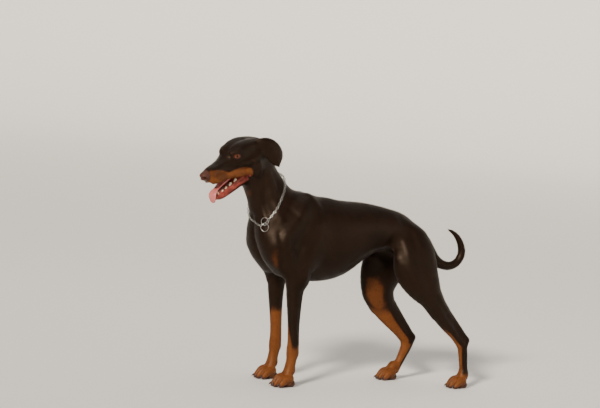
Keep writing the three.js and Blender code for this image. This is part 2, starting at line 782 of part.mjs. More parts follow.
// The eye looks out along one direction; its corners lie towards the nose and towards the ear
const eyeCentre = (side) => vector(EYE_PLACE.x, side * EYE_PLACE.y, EYE_PLACE.z);
const eyeOut = (side) => vector(0.6, side * 0.79, 0.1).normalize();
const eyeBack = (side) => vector(-0.79, side * 0.6, -0.12).normalize();
const eyeUp = (side) => vector(0, 0, 0).crossVectors(eyeOut(side), eyeBack(side)).multiplyScalar(side);
const LID_REACH = 62;
const LID_STEPS = 7;
const UPPER_LID = 30;
const LOWER_LID = -25;

// A lid is a thick curved bar over the eyeball from the inner to the outer corner of the eye
function lid(side, lift) {
  const row = Array.from({ length: LID_STEPS + 1 }, (_, i) => {
    const share = (2 * i) / LID_STEPS - 1;
    const turn = radians(LID_REACH * share);
    const rise = radians(lift * Math.cos((Math.PI / 2) * share));
    const at = eyeCentre(side)
      .addScaledVector(eyeOut(side), (EYE_RADIUS + 1) * Math.cos(turn) * Math.cos(rise))
      .addScaledVector(eyeBack(side), (EYE_RADIUS + 1) * Math.sin(turn) * Math.cos(rise))
      .addScaledVector(eyeUp(side), (EYE_RADIUS + 1) * Math.sin(rise));
    return [at.x, at.y, at.z, LID_THICKNESS, LID_THICKNESS];
  });
  return sweep(row, 6, 1, { place: headFrame });
}

// The opening between the lids, an almond cut down to the eyeball
function eyeOpening(side) {
  const almond = new THREE.SphereGeometry(1, 10, 6);
  almond.applyMatrix4(new THREE.Matrix4().makeBasis(
    eyeOut(side).multiplyScalar(6),
    eyeBack(side).multiplyScalar(side * 12.5),
    eyeUp(side).multiplyScalar(6.5),
  ));
  const at = eyeCentre(side).addScaledVector(eyeOut(side), EYE_RADIUS);
  return toSolid(almond.translate(at.x, at.y, at.z).applyMatrix4(headFrame));
}

function nostril(side) {
  const hole = new THREE.CylinderGeometry(3.6, 2.2, 16, 7);
  hole.rotateZ(-Math.PI / 2);
  hole.rotateZ(side * 0.45);
  hole.translate(266, side * 8.5, -58);
  return toSolid(hole.applyMatrix4(headFrame));
}

const NOSE_BLOCK = { low: vector(247, -40, -72), high: vector(300, 40, -10) };
const HEAD_LOW = [-480, -220, 560];
const HEAD_HIGH = [-100, 130, 870];
function addHead() {
  const headField = field([...skull, ...jaw, ...body]);
  const tongueRoom = sweep(TONGUE, TONGUE_SIDES, 2, { place: jawFrame, grow: SEAT_GAP });
  const mouth = sweep(MOUTH, 12, 3, { place: headFrame });
  let upper = cutBy(skinOf(headField, HEAD_LOW, HEAD_HIGH, HEAD_CELL), beyond(...NECK_TOP))
    .subtract(block(JAW_BLOCK.low, JAW_BLOCK.high, 0, jawFrame))
    .subtract(block(NOSE_BLOCK.low, NOSE_BLOCK.high, 0, headFrame))
    .subtract(mouth);
  upper = withTeeth(upper, UPPER_TEETH, -71, -1, headFrame).subtract(tongueRoom);
  for (const side of [-1, 1]) {
    upper = upper.subtract(eyeOpening(side)).add(lid(side, UPPER_LID)).add(lid(side, LOWER_LID))
      .subtract(ball(EYE_RADIUS + SEAT_GAP, side));
  }
  addNode('head', upper, COAT);
  const lower = field(jaw);
  let chin = skinOf(lower, HEAD_LOW, HEAD_HIGH, JAW_CELL)
    .intersect(block(JAW_BLOCK.low, JAW_BLOCK.high, -2 * HALF_GAP, jawFrame))
    .intersect(beyond(...NECK_TOP));
  chin = withTeeth(chin, LOWER_TEETH, -81, 1, jawFrame).subtract(tongueRoom);
  addNode('lower_jaw', chin, RUST);
  addNode('tongue', sweep(TONGUE, TONGUE_SIDES, 2, { place: jawFrame }), FLESH);
  const nose = skinOf(field(skull), [-450, -150, 680], [-340, -30, 800], NOSE_CELL)
    .intersect(block(NOSE_BLOCK.low, NOSE_BLOCK.high, -2 * HALF_GAP, headFrame));
  addNode('nose', nose.subtract(nostril(-1)).subtract(nostril(1)), LEATHER);
  addNode('eye_left', ball(EYE_RADIUS, 1), EYE);
  addNode('eye_right', ball(EYE_RADIUS, -1), EYE);
}

// Left ear in the head's frame: its front edge, its middle and its back edge, from base to tip
const EAR_FRONT = [[32, 44, -57], [30, 56, -58], [26, 63, -65], [22, 70, -78], [14, 78, -91], [0, 83, -101]];
const EAR_MIDDLE = [
  [45, 42, -28],
  [30, 62, -24],
  [10, 76, -34],
  [-4, 83, -55],
  [-7, 87, -81],
  [-2, 85, -103],
];
const EAR_BACK = [[50, 38, -8], [30, 50, 2], [0, 66, -7], [-24, 77, -36], [-30, 81, -72], [-5, 83, -102]];
const RIGHT_EAR_DROP = 14;
const EAR_ACROSS = 6;
function earSheet(side) {
  const curves = [EAR_FRONT, EAR_MIDDLE, EAR_BACK].map((points) => smoothRow(points, 2));
  const at = (i, v) => {
    const drop = side < 0 ? RIGHT_EAR_DROP : 0;
    const [a, b, c] = curves.map((row) => vector(row[i][0], side * row[i][1], row[i][2] - drop));
    return a.multiplyScalar((1 - v) * (1 - 2 * v))
      .addScaledVector(b, 4 * v * (1 - v))
      .addScaledVector(c, v * (2 * v - 1));
  };
  const last = curves[0].length - 1;
  const rows = curves[0].map((_, i) => {
    const outer = [];
    const inner = [];
    for (let j = 0; j <= EAR_ACROSS; j += 1) {
      const v = j / EAR_ACROSS;
      const e = 0.04;
      const across = at(i, Math.min(v + e, 1)).sub(at(i, Math.max(v - e, 0)));
      const along = at(Math.min(i + 1, last), v).sub(at(Math.max(i - 1, 0), v));
      const normal = vector(0, 0, 0).crossVectors(across, along).normalize().multiplyScalar(side);
      const thin = (EAR_THICKNESS / 2) * (j % EAR_ACROSS ? 1 : 0.5);
      outer.push(at(i, v).addScaledVector(normal, thin));
      inner.push(at(i, v).addScaledVector(normal, -thin));
    }
    const row = [...outer, ...inner.reverse()].map((q) => q.applyMatrix4(headFrame));
    return side < 0 ? row.reverse() : row;
  });
  return sleeve(rows);
}

function addEars() {
  const headField = field([...skull, ...jaw, ...body]);
  const room = skinOf(headField, HEAD_LOW, HEAD_HIGH, HEAD_CELL, SEAT_GAP);
  const neckRoom = skinOf(flesh, [-270, -130, 500], [40, 130, 850], NECK_CELL, SEAT_GAP);
  for (const [name, side] of [['left', 1], ['right', -1]]) {
    addNode(`ear_${name}`, earSheet(side).subtract(room).subtract(neckRoom), COAT);
  }
}

// Chain collar: its loop lies on the neck in a plane that falls towards the chest and the left side
const COLLAR_MIDDLE = vector(-118, 0, 634);
const COLLAR_DOWN = vector(-0.525, 0, -0.851);
const COLLAR_SIDE = vector(-0.252, 0.955, 0.156);
const COLLAR_STEPS = 2 * COLLAR_LINKS;
const RINGS_TURN = -0.66;
const COLLAR_TWIST = [0.44, 0.8];
function collarPoint(turn) {
  const out = COLLAR_DOWN.clone().multiplyScalar(Math.cos(turn)).addScaledVector(COLLAR_SIDE, Math.sin(turn));
  let reach = 30;
  for (let i = 0; i < 40; i += 1) {
    const value = flesh(COLLAR_MIDDLE.clone().addScaledVector(out, reach));
    reach -= Math.max(Math.min(value, 12), -12) * 0.8;
  }
  return COLLAR_MIDDLE.clone().addScaledVector(out, reach + COLLAR_THICKNESS + COLLAR_STAND);
}

// Each ring: how far it hangs below the chain, and how far its middle stands off the chest
const RINGS = [['collar_ring_1', 0, 12], ['collar_ring_2', 23, 4]];
function restingPlace(start, lift) {
  const at = start.clone();
  const outward = vector(0, 0, 0);
  for (let round = 0; round < 8; round += 1) {
    const base = flesh(at);
    outward.set(
      flesh(vector(at.x + 1, at.y, at.z)) - base,
      flesh(vector(at.x, at.y + 1, at.z)) - base,
      flesh(vector(at.x, at.y, at.z + 1)) - base,
    ).normalize();
    at.addScaledVector(outward, lift - base);
  }
  return { at, outward };
}

function collarSolid(grow) {
  const step = (2 * Math.PI) / COLLAR_STEPS;
  const points = Array.from({ length: COLLAR_STEPS }, (_, i) => collarPoint(i * step));
  const rows = points.map((at, i) => {
    const along = points[(i + 1) % COLLAR_STEPS].clone().sub(points.at(i - 1)).normalize();
    const out = at.clone().sub(COLLAR_MIDDLE);
    out.addScaledVector(along, -out.dot(along)).normalize();
    const side = vector(0, 0, 0).crossVectors(along, out);
    const [thin, thick] = i % 2 ? COLLAR_TWIST : [...COLLAR_TWIST].reverse();
    return [[1, 1], [-1, 1], [-1, -1], [1, -1]].map(([a, b]) => at.clone()
      .addScaledVector(out, a * (thin * COLLAR_THICKNESS + grow))
      .addScaledVector(side, b * (thick * COLLAR_THICKNESS + grow)));
  });
  return sleeve(rows, true);
}

function addCollar() {
  addNode('collar_chain', collarSolid(0), STEEL);
  for (const [name, drop, lift] of RINGS) {
    const { at, outward } = restingPlace(collarPoint(RINGS_TURN).add(vector(0, 0, -drop)), lift);
    const ring = new THREE.TorusGeometry(RING_RADIUS, RING_THICKNESS / 2, 6, 14);
    ring.applyQuaternion(new THREE.Quaternion().setFromUnitVectors(vector(0, 0, 1), outward));
    addNode(name, toSolid(ring.translate(at.x, at.y, at.z)), STEEL);
  }
}

addTrunk();
addNeck();
addForelegs();
addHindLegs();
addTail();
addHead();
addEars();
addCollar();

export default group;
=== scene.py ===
# Doberman pinscher, a still life-size model in a plain studio: one skin with its short coat, and
# eyes, eyelids, claws, teeth, tongue and chain collar as pieces of their own.
# Shapes are in millimetres in the frame they were measured in, and MIDDLE takes them to the model's frame.
import json
import math

import bmesh
import bpy
import numpy as np
from mathutils import Matrix, Vector
from mathutils.bvhtree import BVHTree

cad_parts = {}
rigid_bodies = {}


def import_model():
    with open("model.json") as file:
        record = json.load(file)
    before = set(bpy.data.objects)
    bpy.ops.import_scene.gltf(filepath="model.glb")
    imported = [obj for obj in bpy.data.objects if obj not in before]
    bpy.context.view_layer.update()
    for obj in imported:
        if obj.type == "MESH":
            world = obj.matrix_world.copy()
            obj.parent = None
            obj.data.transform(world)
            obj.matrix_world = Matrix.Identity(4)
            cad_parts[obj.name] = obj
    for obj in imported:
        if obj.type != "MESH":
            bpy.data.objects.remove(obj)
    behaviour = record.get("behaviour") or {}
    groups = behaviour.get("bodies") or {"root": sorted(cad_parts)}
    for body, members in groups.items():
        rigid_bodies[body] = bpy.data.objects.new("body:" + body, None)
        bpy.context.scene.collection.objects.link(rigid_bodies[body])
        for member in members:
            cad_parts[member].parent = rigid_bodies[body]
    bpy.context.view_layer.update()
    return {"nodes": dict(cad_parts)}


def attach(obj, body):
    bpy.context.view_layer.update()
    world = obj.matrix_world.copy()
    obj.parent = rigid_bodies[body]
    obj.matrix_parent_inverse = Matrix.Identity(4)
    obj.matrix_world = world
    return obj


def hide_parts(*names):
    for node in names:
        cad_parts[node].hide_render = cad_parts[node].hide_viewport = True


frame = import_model()

MM = 0.001
MIDDLE = np.array([131.9, 2.4, 0.0])
SEED = 7

# Camera: left side and a little in front, slightly above, tilted as the photograph is
CAMERA_AZIMUTH = -26
CAMERA_ELEVATION = 5
CAMERA_ROLL = 5
CAMERA_DISTANCE = 8000
CAMERA_TARGET = np.array([4.7, 0.0, 606.8])
SENSOR = 36
LENS = 143.28

# Head: place and turn of its own frame, in which x runs to the nose, y to the dog's left and z up
HEAD_PLACE = np.array([-181.0, 0.0, 832.0])
HEAD_YAW = 22
HEAD_PITCH = 20.5
HEAD_ROLL = -2
JAW_OPENING = 15
JAW_HINGE = np.array([58.0, 0.0, -66.0])
EYE_PLACE = np.array([129.0, 31.5, -24.0])
EYE_RADIUS = 12.0

# Depth of the coat, and the cells of the skin: wide ones on the body, a third as wide on head and feet
COAT_DEPTH = 0.8
CELL = 5.1
FINE = 3
SKIN_FACES = 190000


def turn(axis, degrees):
    """A turn about one axis as a 3 by 3 matrix."""
    return np.array(Matrix.Rotation(math.radians(degrees), 3, axis))


HEAD_TURN = turn("Z", 180 + HEAD_YAW) @ turn("Y", HEAD_PITCH) @ turn("X", HEAD_ROLL)
JAW_TURN = HEAD_TURN @ turn("Y", JAW_OPENING)


def from_head(points):
    """Places in the head's frame taken to the body's."""
    return np.asarray(points, float) @ HEAD_TURN.T + HEAD_PLACE


def to_head(points):
    """Places in the body's frame taken to the head's."""
    return (np.asarray(points, float) - HEAD_PLACE) @ HEAD_TURN


def from_jaw(points):
    """Places in the lower jaw's frame, which the open mouth turns about the hinge."""
    points = np.asarray(points, float) - JAW_HINGE
    return points @ JAW_TURN.T + from_head(JAW_HINGE)


def to_jaw(points):
    """Places in the body's frame taken to the lower jaw's."""
    return (np.asarray(points, float) - from_head(JAW_HINGE)) @ JAW_TURN + JAW_HINGE


BODY = (np.eye(3), lambda points: np.asarray(points, float))
HEAD = (HEAD_TURN, from_head)
JAW = (JAW_TURN, from_jaw)


def mirrored(stations):
    """The same stations on the other side of the dog."""
    return [[x, -y, *rest] for x, y, *rest in stations]


def both(stations):
    """Stations for the left side and for the right."""
    return [stations, mirrored(stations)]


def smooth_row(stations, steps):
    """A smooth curve through stations, with that many steps from one to the next."""
    row = np.array(stations, float)
    row = np.vstack([2 * row[0] - row[1], row, 2 * row[-1] - row[-2]])
    a, b, c, d = (row[i : len(row) - 3 + i, None] for i in range(4))
    t = np.arange(steps)[None, :, None] / steps
    square = 2 * a - 5 * b + 4 * c - d
    cube = 3 * b - a - 3 * c + d
    curve = 0.5 * (2 * b + (c - a) * t + square * t**2 + cube * t**3)
    return np.vstack([curve.reshape(-1, row.shape[1]), row[-2]])


# How far past the reach of its blend a chain is still looked at
CHAIN_MARGIN = 30


class Chain:
    """Stations (x, y, z, half width across, half depth) joined by a smooth curve of oval section."""

    def __init__(self, stations, blend=12, where=BODY, steps=4, carve=False):
        row = smooth_row(stations, steps)
        self.at = where[1](row[:, :3])
        self.wide, self.deep = row[:, 3], row[:, 4]
        self.blend, self.carve = blend, carve
        run = np.diff(self.at, axis=0)
        self.length = np.linalg.norm(run, axis=1)
        self.along = run / self.length[:, None]
        side = where[0] @ np.array([0.0, 1.0, 0.0])
        across = side - self.along * (self.along @ side)[:, None]
        self.across = across / np.linalg.norm(across, axis=1)[:, None]
        self.down = np.cross(self.along, self.across)
        reach = np.maximum(self.wide, self.deep)[:, None]
        margin = blend + CHAIN_MARGIN
        self.low = (self.at - reach).min(0) - margin
        self.high = (self.at + reach).max(0) + margin

    def distance(self, points, with_flow=False):
        """Distance to the chain's surface, negative inside, and if wanted the chain's direction there."""
        best = np.full(len(points), np.inf)
        flow = np.zeros((len(points), 3))
        for i, length in enumerate(self.length):
            off = points - self.at[i]
            run = off @ self.along[i]
            share = np.clip(run / length, 0, 1)
            wide = self.wide[i] + (self.wide[i + 1] - self.wide[i]) * share
            deep = self.deep[i] + (self.deep[i + 1] - self.deep[i]) * share
            end = np.minimum(wide, deep)
            a = (off @ self.across[i]) / wide
            b = (off @ self.down[i]) / deep
            c = (run - share * length) / end
            k0 = np.sqrt(a * a + b * b + c * c)
            k1 = np.sqrt((a / wide) ** 2 + (b / deep) ** 2 + (c / end) ** 2)
            value = k0 * (k0 - 1) / np.maximum(k1, 1e-9)
            flow[value < best] = self.along[i]
            best = np.minimum(best, value)
        return (best, flow) if with_flow else best


def blend_union(a, b, width):
    """The lesser of two distances, rounded where they are near each other."""
    h = np.maximum(width - np.abs(a - b), 0) / width
    return np.minimum(a, b) - h * h * width / 4


def blend_cut(a, b, width):
    """Distance a with form b taken away, with a rounded edge."""
    return -blend_union(-a, b, width)


# Trunk and neck
TRUNK = [
    [-95, 0, 505, 58, 62],
    [-50, 0, 500, 80, 108],
    [0, 0, 497, 90, 141],
    [60, 0, 492, 98, 145],
    [120, 0, 495, 102, 138],
    [185, 0, 514, 98, 112],
    [245, 0, 530, 88, 92],
    [310, 0, 534, 76, 77],
    [370, 0, 528, 70, 66],
    [425, 0, 500, 62, 56],
    [466, 0, 469, 48, 44],
]
NECK = [
    [-184, 0, 762, 42, 44],
    [-165, 0, 722, 48, 56],
    [-149, 0, 684, 52, 65],
    [-122, 0, 640, 58, 72],
    [-95, 0, 598, 67, 84],
    [-58, 0, 556, 78, 100],
    [-20, 0, 520, 84, 112],
]

# Muscles of chest and shoulder, for the left side
CHEST_MUSCLE = [
    [-98, -36, 575, 34, 40],
    [-110, -46, 515, 40, 48],
    [-100, -46, 455, 42, 46],
    [-66, -44, 405, 38, 38],
]
SHOULDER_BLADE = [
    [20, -32, 612, 24, 34],
    [-10, -58, 575, 30, 46],
    [-58, -72, 520, 32, 46],
    [-98, -74, 478, 32, 40],
]
UPPER_ARM = [
    [-98, -72, 476, 34, 42],
    [-64, -80, 430, 33, 46],
    [-32, -83, 385, 30, 42],
    [-22, -82, 350, 27, 36],
]
TRICEPS = [
    [40, -66, 530, 26, 40],
    [18, -78, 465, 27, 46],
    [-4, -82, 405, 24, 36],
    [-8, -82, 364, 18, 22],
]
FORELEG = [
    [-24, -82, 360, 28, 36],
    [-26, -82, 318, 25, 30],
    [-23, -81, 265, 21, 25],
    [-18, -79, 205, 18, 21],
    [-14, -78, 155, 18.5, 20.5],
    [-13, -78, 122, 19.5, 21],
    [-15, -78, 92, 17, 18.5],
    [-20, -78, 62, 18, 17.5],
    [-24, -78, 40, 18, 16],
]
RIGHT_FORE_SHIFT = 8

# A paw, from the middle of its heel: the pad and the two toes of its left half
PAD = [[-4, 0, 12, 16, 15], [-22, 0, 15, 21, 19]]
INNER_TOE = [
    [-22, 7.5, 33, 10, 15],
    [-43, 9.5, 32, 9.8, 13.5],
    [-58, 10, 16, 9.2, 12],
    [-65, 10, 6, 8, 9],
]
OUTER_TOE = [
    [-12, 17, 30, 10, 14],
    [-31, 22.5, 28, 9.8, 13],
    [-46, 24.5, 15, 9.2, 11.5],
    [-52, 24.5, 6, 8, 9],
]
PAWS = {
    "fore_left": (-6, -78, 1.0),
    "fore_right": (2, 78, 1.0),
    "hind_left": (658, -76, 0.93),
    "hind_right": (462, 76, 0.93),
}
HAND = [[-10, 0, 56, 17, 16], [-24, 0, 40, 20, 13], [-34, 0, 30, 20, 10]]
TOE_BLEND = 5

# Hind legs: the left one is stretched out behind
LEFT_THIGH = [
    [418, -46, 512, 34, 54],
    [420, -66, 470, 42, 74],
    [424, -77, 415, 44, 80],
    [456, -82, 358, 40, 64],
    [495, -82, 310, 34, 41],
    [528, -80, 268, 27, 33],
]
LEFT_GASKIN = [
    [498, -82, 306, 32, 38],
    [528, -80, 268, 27, 33],
    [562, -78, 228, 21, 27],
    [600, -76, 188, 16.5, 19],
    [628, -76, 156, 15, 17],
]
LEFT_HOCK = [
    [648, -76, 166, 12, 14],
    [638, -76, 146, 15, 18],
    [642, -76, 116, 14, 17],
    [648, -76, 75, 13.5, 15],
    [653, -76, 40, 15, 15.5],
]
LEFT_TENDON = [[540, -80, 282, 16, 18], [602, -77, 222, 9.5, 12], [647, -76, 172, 8.5, 10.5]]
RIGHT_THIGH = [
    [416, 46, 512, 34, 54],
    [412, 66, 470, 42, 74],
    [392, 80, 415, 46, 84],
    [376, 84, 362, 42, 76],
    [372, 84, 312, 36, 60],
    [392, 81, 262, 27, 46],
]
RIGHT_GASKIN = [
    [374, 84, 308, 33, 56],
    [396, 81, 260, 27, 45],
    [430, 78, 215, 21, 33],
    [466, 76, 176, 17, 24],
    [494, 76, 146, 16, 21],
]
RIGHT_HOCK = [
    [520, 76, 150, 12, 14],
    [504, 76, 132, 16, 22],
    [494, 76, 104, 15, 19],
    [478, 76, 66, 13.5, 15.5],
    [464, 76, 36, 15, 16],
]
RIGHT_TENDON = [[430, 80, 262, 15, 18], [482, 77, 200, 10, 13], [518, 76, 155, 9, 11]]
TAIL = [
    [484, 0, 492, 30, 30],
    [510, 0, 462, 26, 26],
    [534, 0, 438, 21, 21],
    [562, 0, 421, 17.5, 17.5],
    [597, 0, 415, 15, 15],
    [627, 0, 429, 14, 14],
    [642, 0, 459, 13.5, 13.5],
    [634, 0, 495, 12, 12],
    [612, 0, 524, 8.5, 8.5],
    [581, 0, 542, 3.5, 3.5],
]

# Head in its own frame, for the left side where there are two
CRANIUM = [
    [0, 0, -50, 34, 28],
    [22, 0, -45, 48, 37],
    [55, 0, -40, 54, 43],
    [90, 0, -37, 53, 45],
    [118, 0, -39, 46, 43],
    [140, 0, -50, 37, 37],
]
MUZZLE = [
    [132, 0, -58, 37, 37],
    [165, 0, -57, 32, 35],
    [200, 0, -60, 28, 31],
    [224, 0, -60, 25.5, 29],
    [238, 0, -60, 20, 25],
]
NOSE_ROOT = [[236, 0, -53, 19, 19], [259, 0, -54, 17, 15.5]]
TEMPLE = [[28, 24, -24, 20, 20], [62, 26, -15, 22, 22], [98, 24, -13, 21, 21], [120, 20, -18, 18, 18]]
FLEW = [
    [96, 41, -90, 5, 9],
    [122, 38, -84, 9, 17],
    [155, 32, -78, 10, 15],
    [185, 27, -76, 10, 13.5],
    [215, 22, -75, 10, 15.5],
    [236, 15, -74, 9, 14],
]
CHEEK_BONE = [[140, 32, -50, 12, 12], [105, 48, -54, 12, 13], [70, 54, -50, 13, 14], [40, 48, -46, 12, 14]]
CHEEK = [[88, 42, -82, 15, 28], [60, 44, -78, 16, 32]]
BROW = [[143, 22, -14, 10, 9], [122, 36, -13, 10, 9]]
LOWER_JAW = [
    [64, 0, -97, 40, 22],
    [100, 0, -102, 34, 24],
    [140, 0, -103, 28, 23],
    [180, 0, -101, 24, 21],
    [215, 0, -98, 20, 18.5],
    [238, 0, -91, 14, 13],
]

# The slit between the lips and the hollow of the mouth, both taken away
MOUTH_SLIT = [
    [98, 0, -102, 50, 1.2],
    [125, 0, -101.5, 60, 3],
    [153, 0, -101, 60, 6.5],
    [194, 0, -106, 60, 14],
    [232, 0, -113, 60, 19],
    [262, 0, -112, 60, 27],
    [300, 0, -112, 60, 30],
]
PALATE = [
    [94, 0, -86, 22, 9],
    [140, 0, -84, 24, 13],
    [185, 0, -83, 20, 13],
    [220, 0, -82, 16, 11],
    [238, 0, -81, 9, 8],
]
JAW_TROUGH = [
    [104, 0, -80, 17, 8],
    [150, 0, -80, 17, 8],
    [195, 0, -79, 14, 8],
    [225, 0, -77, 10, 6],
    [236, 0, -75, 7, 5],
]


def body_shapes():
    """The chains of the whole body without the head, in the order in which they blend."""
    shapes = [Chain(TRUNK, 30, steps=7), Chain(NECK, 40, steps=7)]
    shapes += [Chain(s, 30) for s in both(CHEST_MUSCLE)]
    for muscle in (SHOULDER_BLADE, UPPER_ARM, TRICEPS):
        shapes += [Chain(s, 26) for s in both(muscle)]
    shapes.append(Chain(FORELEG, 10))
    shapes.append(Chain([[s[0] + RIGHT_FORE_SHIFT, *s[1:]] for s in mirrored(FORELEG)], 10))
    shapes += [Chain(s, 34) for s in (LEFT_THIGH, RIGHT_THIGH)]
    for s in (LEFT_GASKIN, LEFT_HOCK, LEFT_TENDON, RIGHT_GASKIN, RIGHT_HOCK, RIGHT_TENDON):
        shapes.append(Chain(s, 10))
    toes = [(toe, TOE_BLEND) for toe in both(INNER_TOE) + both(OUTER_TOE)]
    for x, y, size in PAWS.values():
        for part, blend in [(HAND, 12), (PAD, 6), *toes]:
            placed = [[x + s[0] * size, y + s[1] * size, *(v * size for v in s[2:])] for s in part]
            shapes.append(Chain(placed, blend))
    shapes.append(Chain(TAIL, 14))
    return shapes


def skull_shapes():
    """The chains of the head above the mouth."""
    shapes = [Chain(CRANIUM, 14, HEAD), Chain(MUZZLE, 14, HEAD), Chain(NOSE_ROOT, 8, HEAD)]
    for stations, blend in ((TEMPLE, 12), (FLEW, 8), (CHEEK_BONE, 12), (CHEEK, 14), (BROW, 10)):
        shapes += [Chain(s, blend, HEAD) for s in both(stations)]
    return shapes


# Eyes: each looks out along one direction, its corners lying towards the nose and towards the ear. A reach is
# the angle from the gaze to a corner, seen from the eyeball's middle. The swellings of the skin and the edges
# of the lids stand above and below the line between the corners by LID_BARS and EDGE_LIFTS. Each lid runs
# EDGE_COVER on under the skin, and the pink inner lid rises by HAW_RISE
LID_REACH = 62
LID_BARS = (34, -42)
LID_THICKNESS = 2.6
SLIT_REACH = 54
EDGE_REACH = 60
EDGE_LIFTS = (23, -25)
EDGE_COVER = 42
HAW_RISE = 12


def eye_axes(side):
    """Out, back and up of an eye in the head's frame; side is 1 for the left and -1 for the right."""
    out = np.array([0.6, side * 0.79, 0.1])
    back = np.array([-0.79, side * 0.6, -0.12])
    out, back = out / np.linalg.norm(out), back / np.linalg.norm(back)
    up = np.cross(out, back) * side
    return out, back, up / np.linalg.norm(up)


def eye_centre(side):
    """Middle of an eyeball in the head's frame."""
    return EYE_PLACE * np.array([1, side, 1])


def lid_row(side, lift, stand, thickness, reach=LID_REACH, taper=0.0):
    """Stations of a bar bent over the eyeball, from the inner to the outer corner of the eye."""
    out, back, up = eye_axes(side)
    row = []
    for share in np.linspace(-1, 1, 9):
        sweep = math.radians(reach * share)
        rise = math.radians(lift * math.cos(math.pi / 2 * share))
        level = out * math.cos(sweep) + back * math.sin(sweep)
        way = level * math.cos(rise) + up * math.sin(rise)
        thick = thickness * (1 - taper * share**2)
        row.append([*(eye_centre(side) + way * (EYE_RADIUS + stand)), thick, thick])
    return row


def eye_shapes(side):
    """The hollow round an eye, its slit and the swelling of its two lids."""
    hollow = lid_row(side, 0, stand=9.0, thickness=8.5, reach=40, taper=0.4)
    orbit = Chain(hollow, 9, HEAD, steps=1, carve=True)
    opening = lid_row(side, 0, stand=1.5, thickness=7.0, reach=SLIT_REACH, taper=0.7)
    slit = Chain(opening, 3, HEAD, steps=1, carve=True)
    bars = [Chain(lid_row(side, lift, 1.1, LID_THICKNESS), 4, HEAD, steps=1) for lift in LID_BARS]
    return [orbit, slit, *bars]


# Nostril: its hole and the slit that curls back from it
NOSTRIL = [[272, 8, -55, 4.2, 3.6], [262, 9.5, -56, 3.6, 3.2], [250, 7, -54, 2.2, 2.2]]
NOSTRIL_SLIT = [[268, 11, -57, 2.2, 1.8], [262, 15, -61, 1.3, 1.5], [254, 18.5, -63, 1, 1.2]]


def nostril_shapes(side):
    """The hollows of one nostril."""
    rows = [NOSTRIL, NOSTRIL_SLIT]
    return [Chain(row if side > 0 else mirrored(row), 2, HEAD, carve=True) for row in rows]


# Left ear in the head's frame: its front edge, its middle and its back edge, from base to tip
EAR_FRONT = [[32, 44, -57], [30, 56, -58], [26, 63, -65], [22, 70, -78], [14, 78, -91], [0, 83, -101]]
EAR_MIDDLE = [[45, 42, -28], [30, 62, -24], [10, 76, -34], [-4, 83, -55], [-7, 87, -81], [-2, 85, -103]]
EAR_BACK = [[50, 38, -8], [30, 50, 2], [0, 66, -7], [-24, 77, -36], [-30, 81, -72], [-5, 83, -102]]
RIGHT_EAR_DROP = 14
EAR_THICKNESS = 4.9
EAR_BLEND = 7
EAR_STEPS = 6
EAR_ACROSS = 24
EAR_MARGIN = 20


class Ear:
    """A thin curved sheet with a thickness, as a distance that blends into the head at its base."""

    def __init__(self, side):
        rows = [smooth_row(s, EAR_STEPS) for s in (EAR_FRONT, EAR_MIDDLE, EAR_BACK)]
        drop = np.array([0, 0, RIGHT_EAR_DROP if side < 0 else 0])
        front, middle, back = (row * [1, side, 1] - drop for row in rows)
        v = np.linspace(0, 1, EAR_ACROSS + 1)[None, :, None]
        front, middle, back = front[:, None], middle[:, None], back[:, None]
        sheet = (1 - v) * (1 - 2 * v) * front + 4 * v * (1 - v) * middle + v * (2 * v - 1) * back
        n, m = sheet.shape[:2]
        at = from_head(sheet.reshape(-1, 3))
        faces = []
        for i in range(n - 1):
            for j in range(m - 1):
                a = i * m + j
                faces.append((a, a + 1, a + m + 1, a + m))
        self.tree = BVHTree.FromPolygons([Vector(p) for p in at], faces)
        self.low, self.high = at.min(0) - EAR_MARGIN, at.max(0) + EAR_MARGIN
        self.blend, self.carve = EAR_BLEND, False

    def distance(self, points):
        """Distance to the ear's surface, negative inside."""
        return np.array([self.tree.find_nearest(p)[3] for p in points.tolist()]) - EAR_THICKNESS / 2


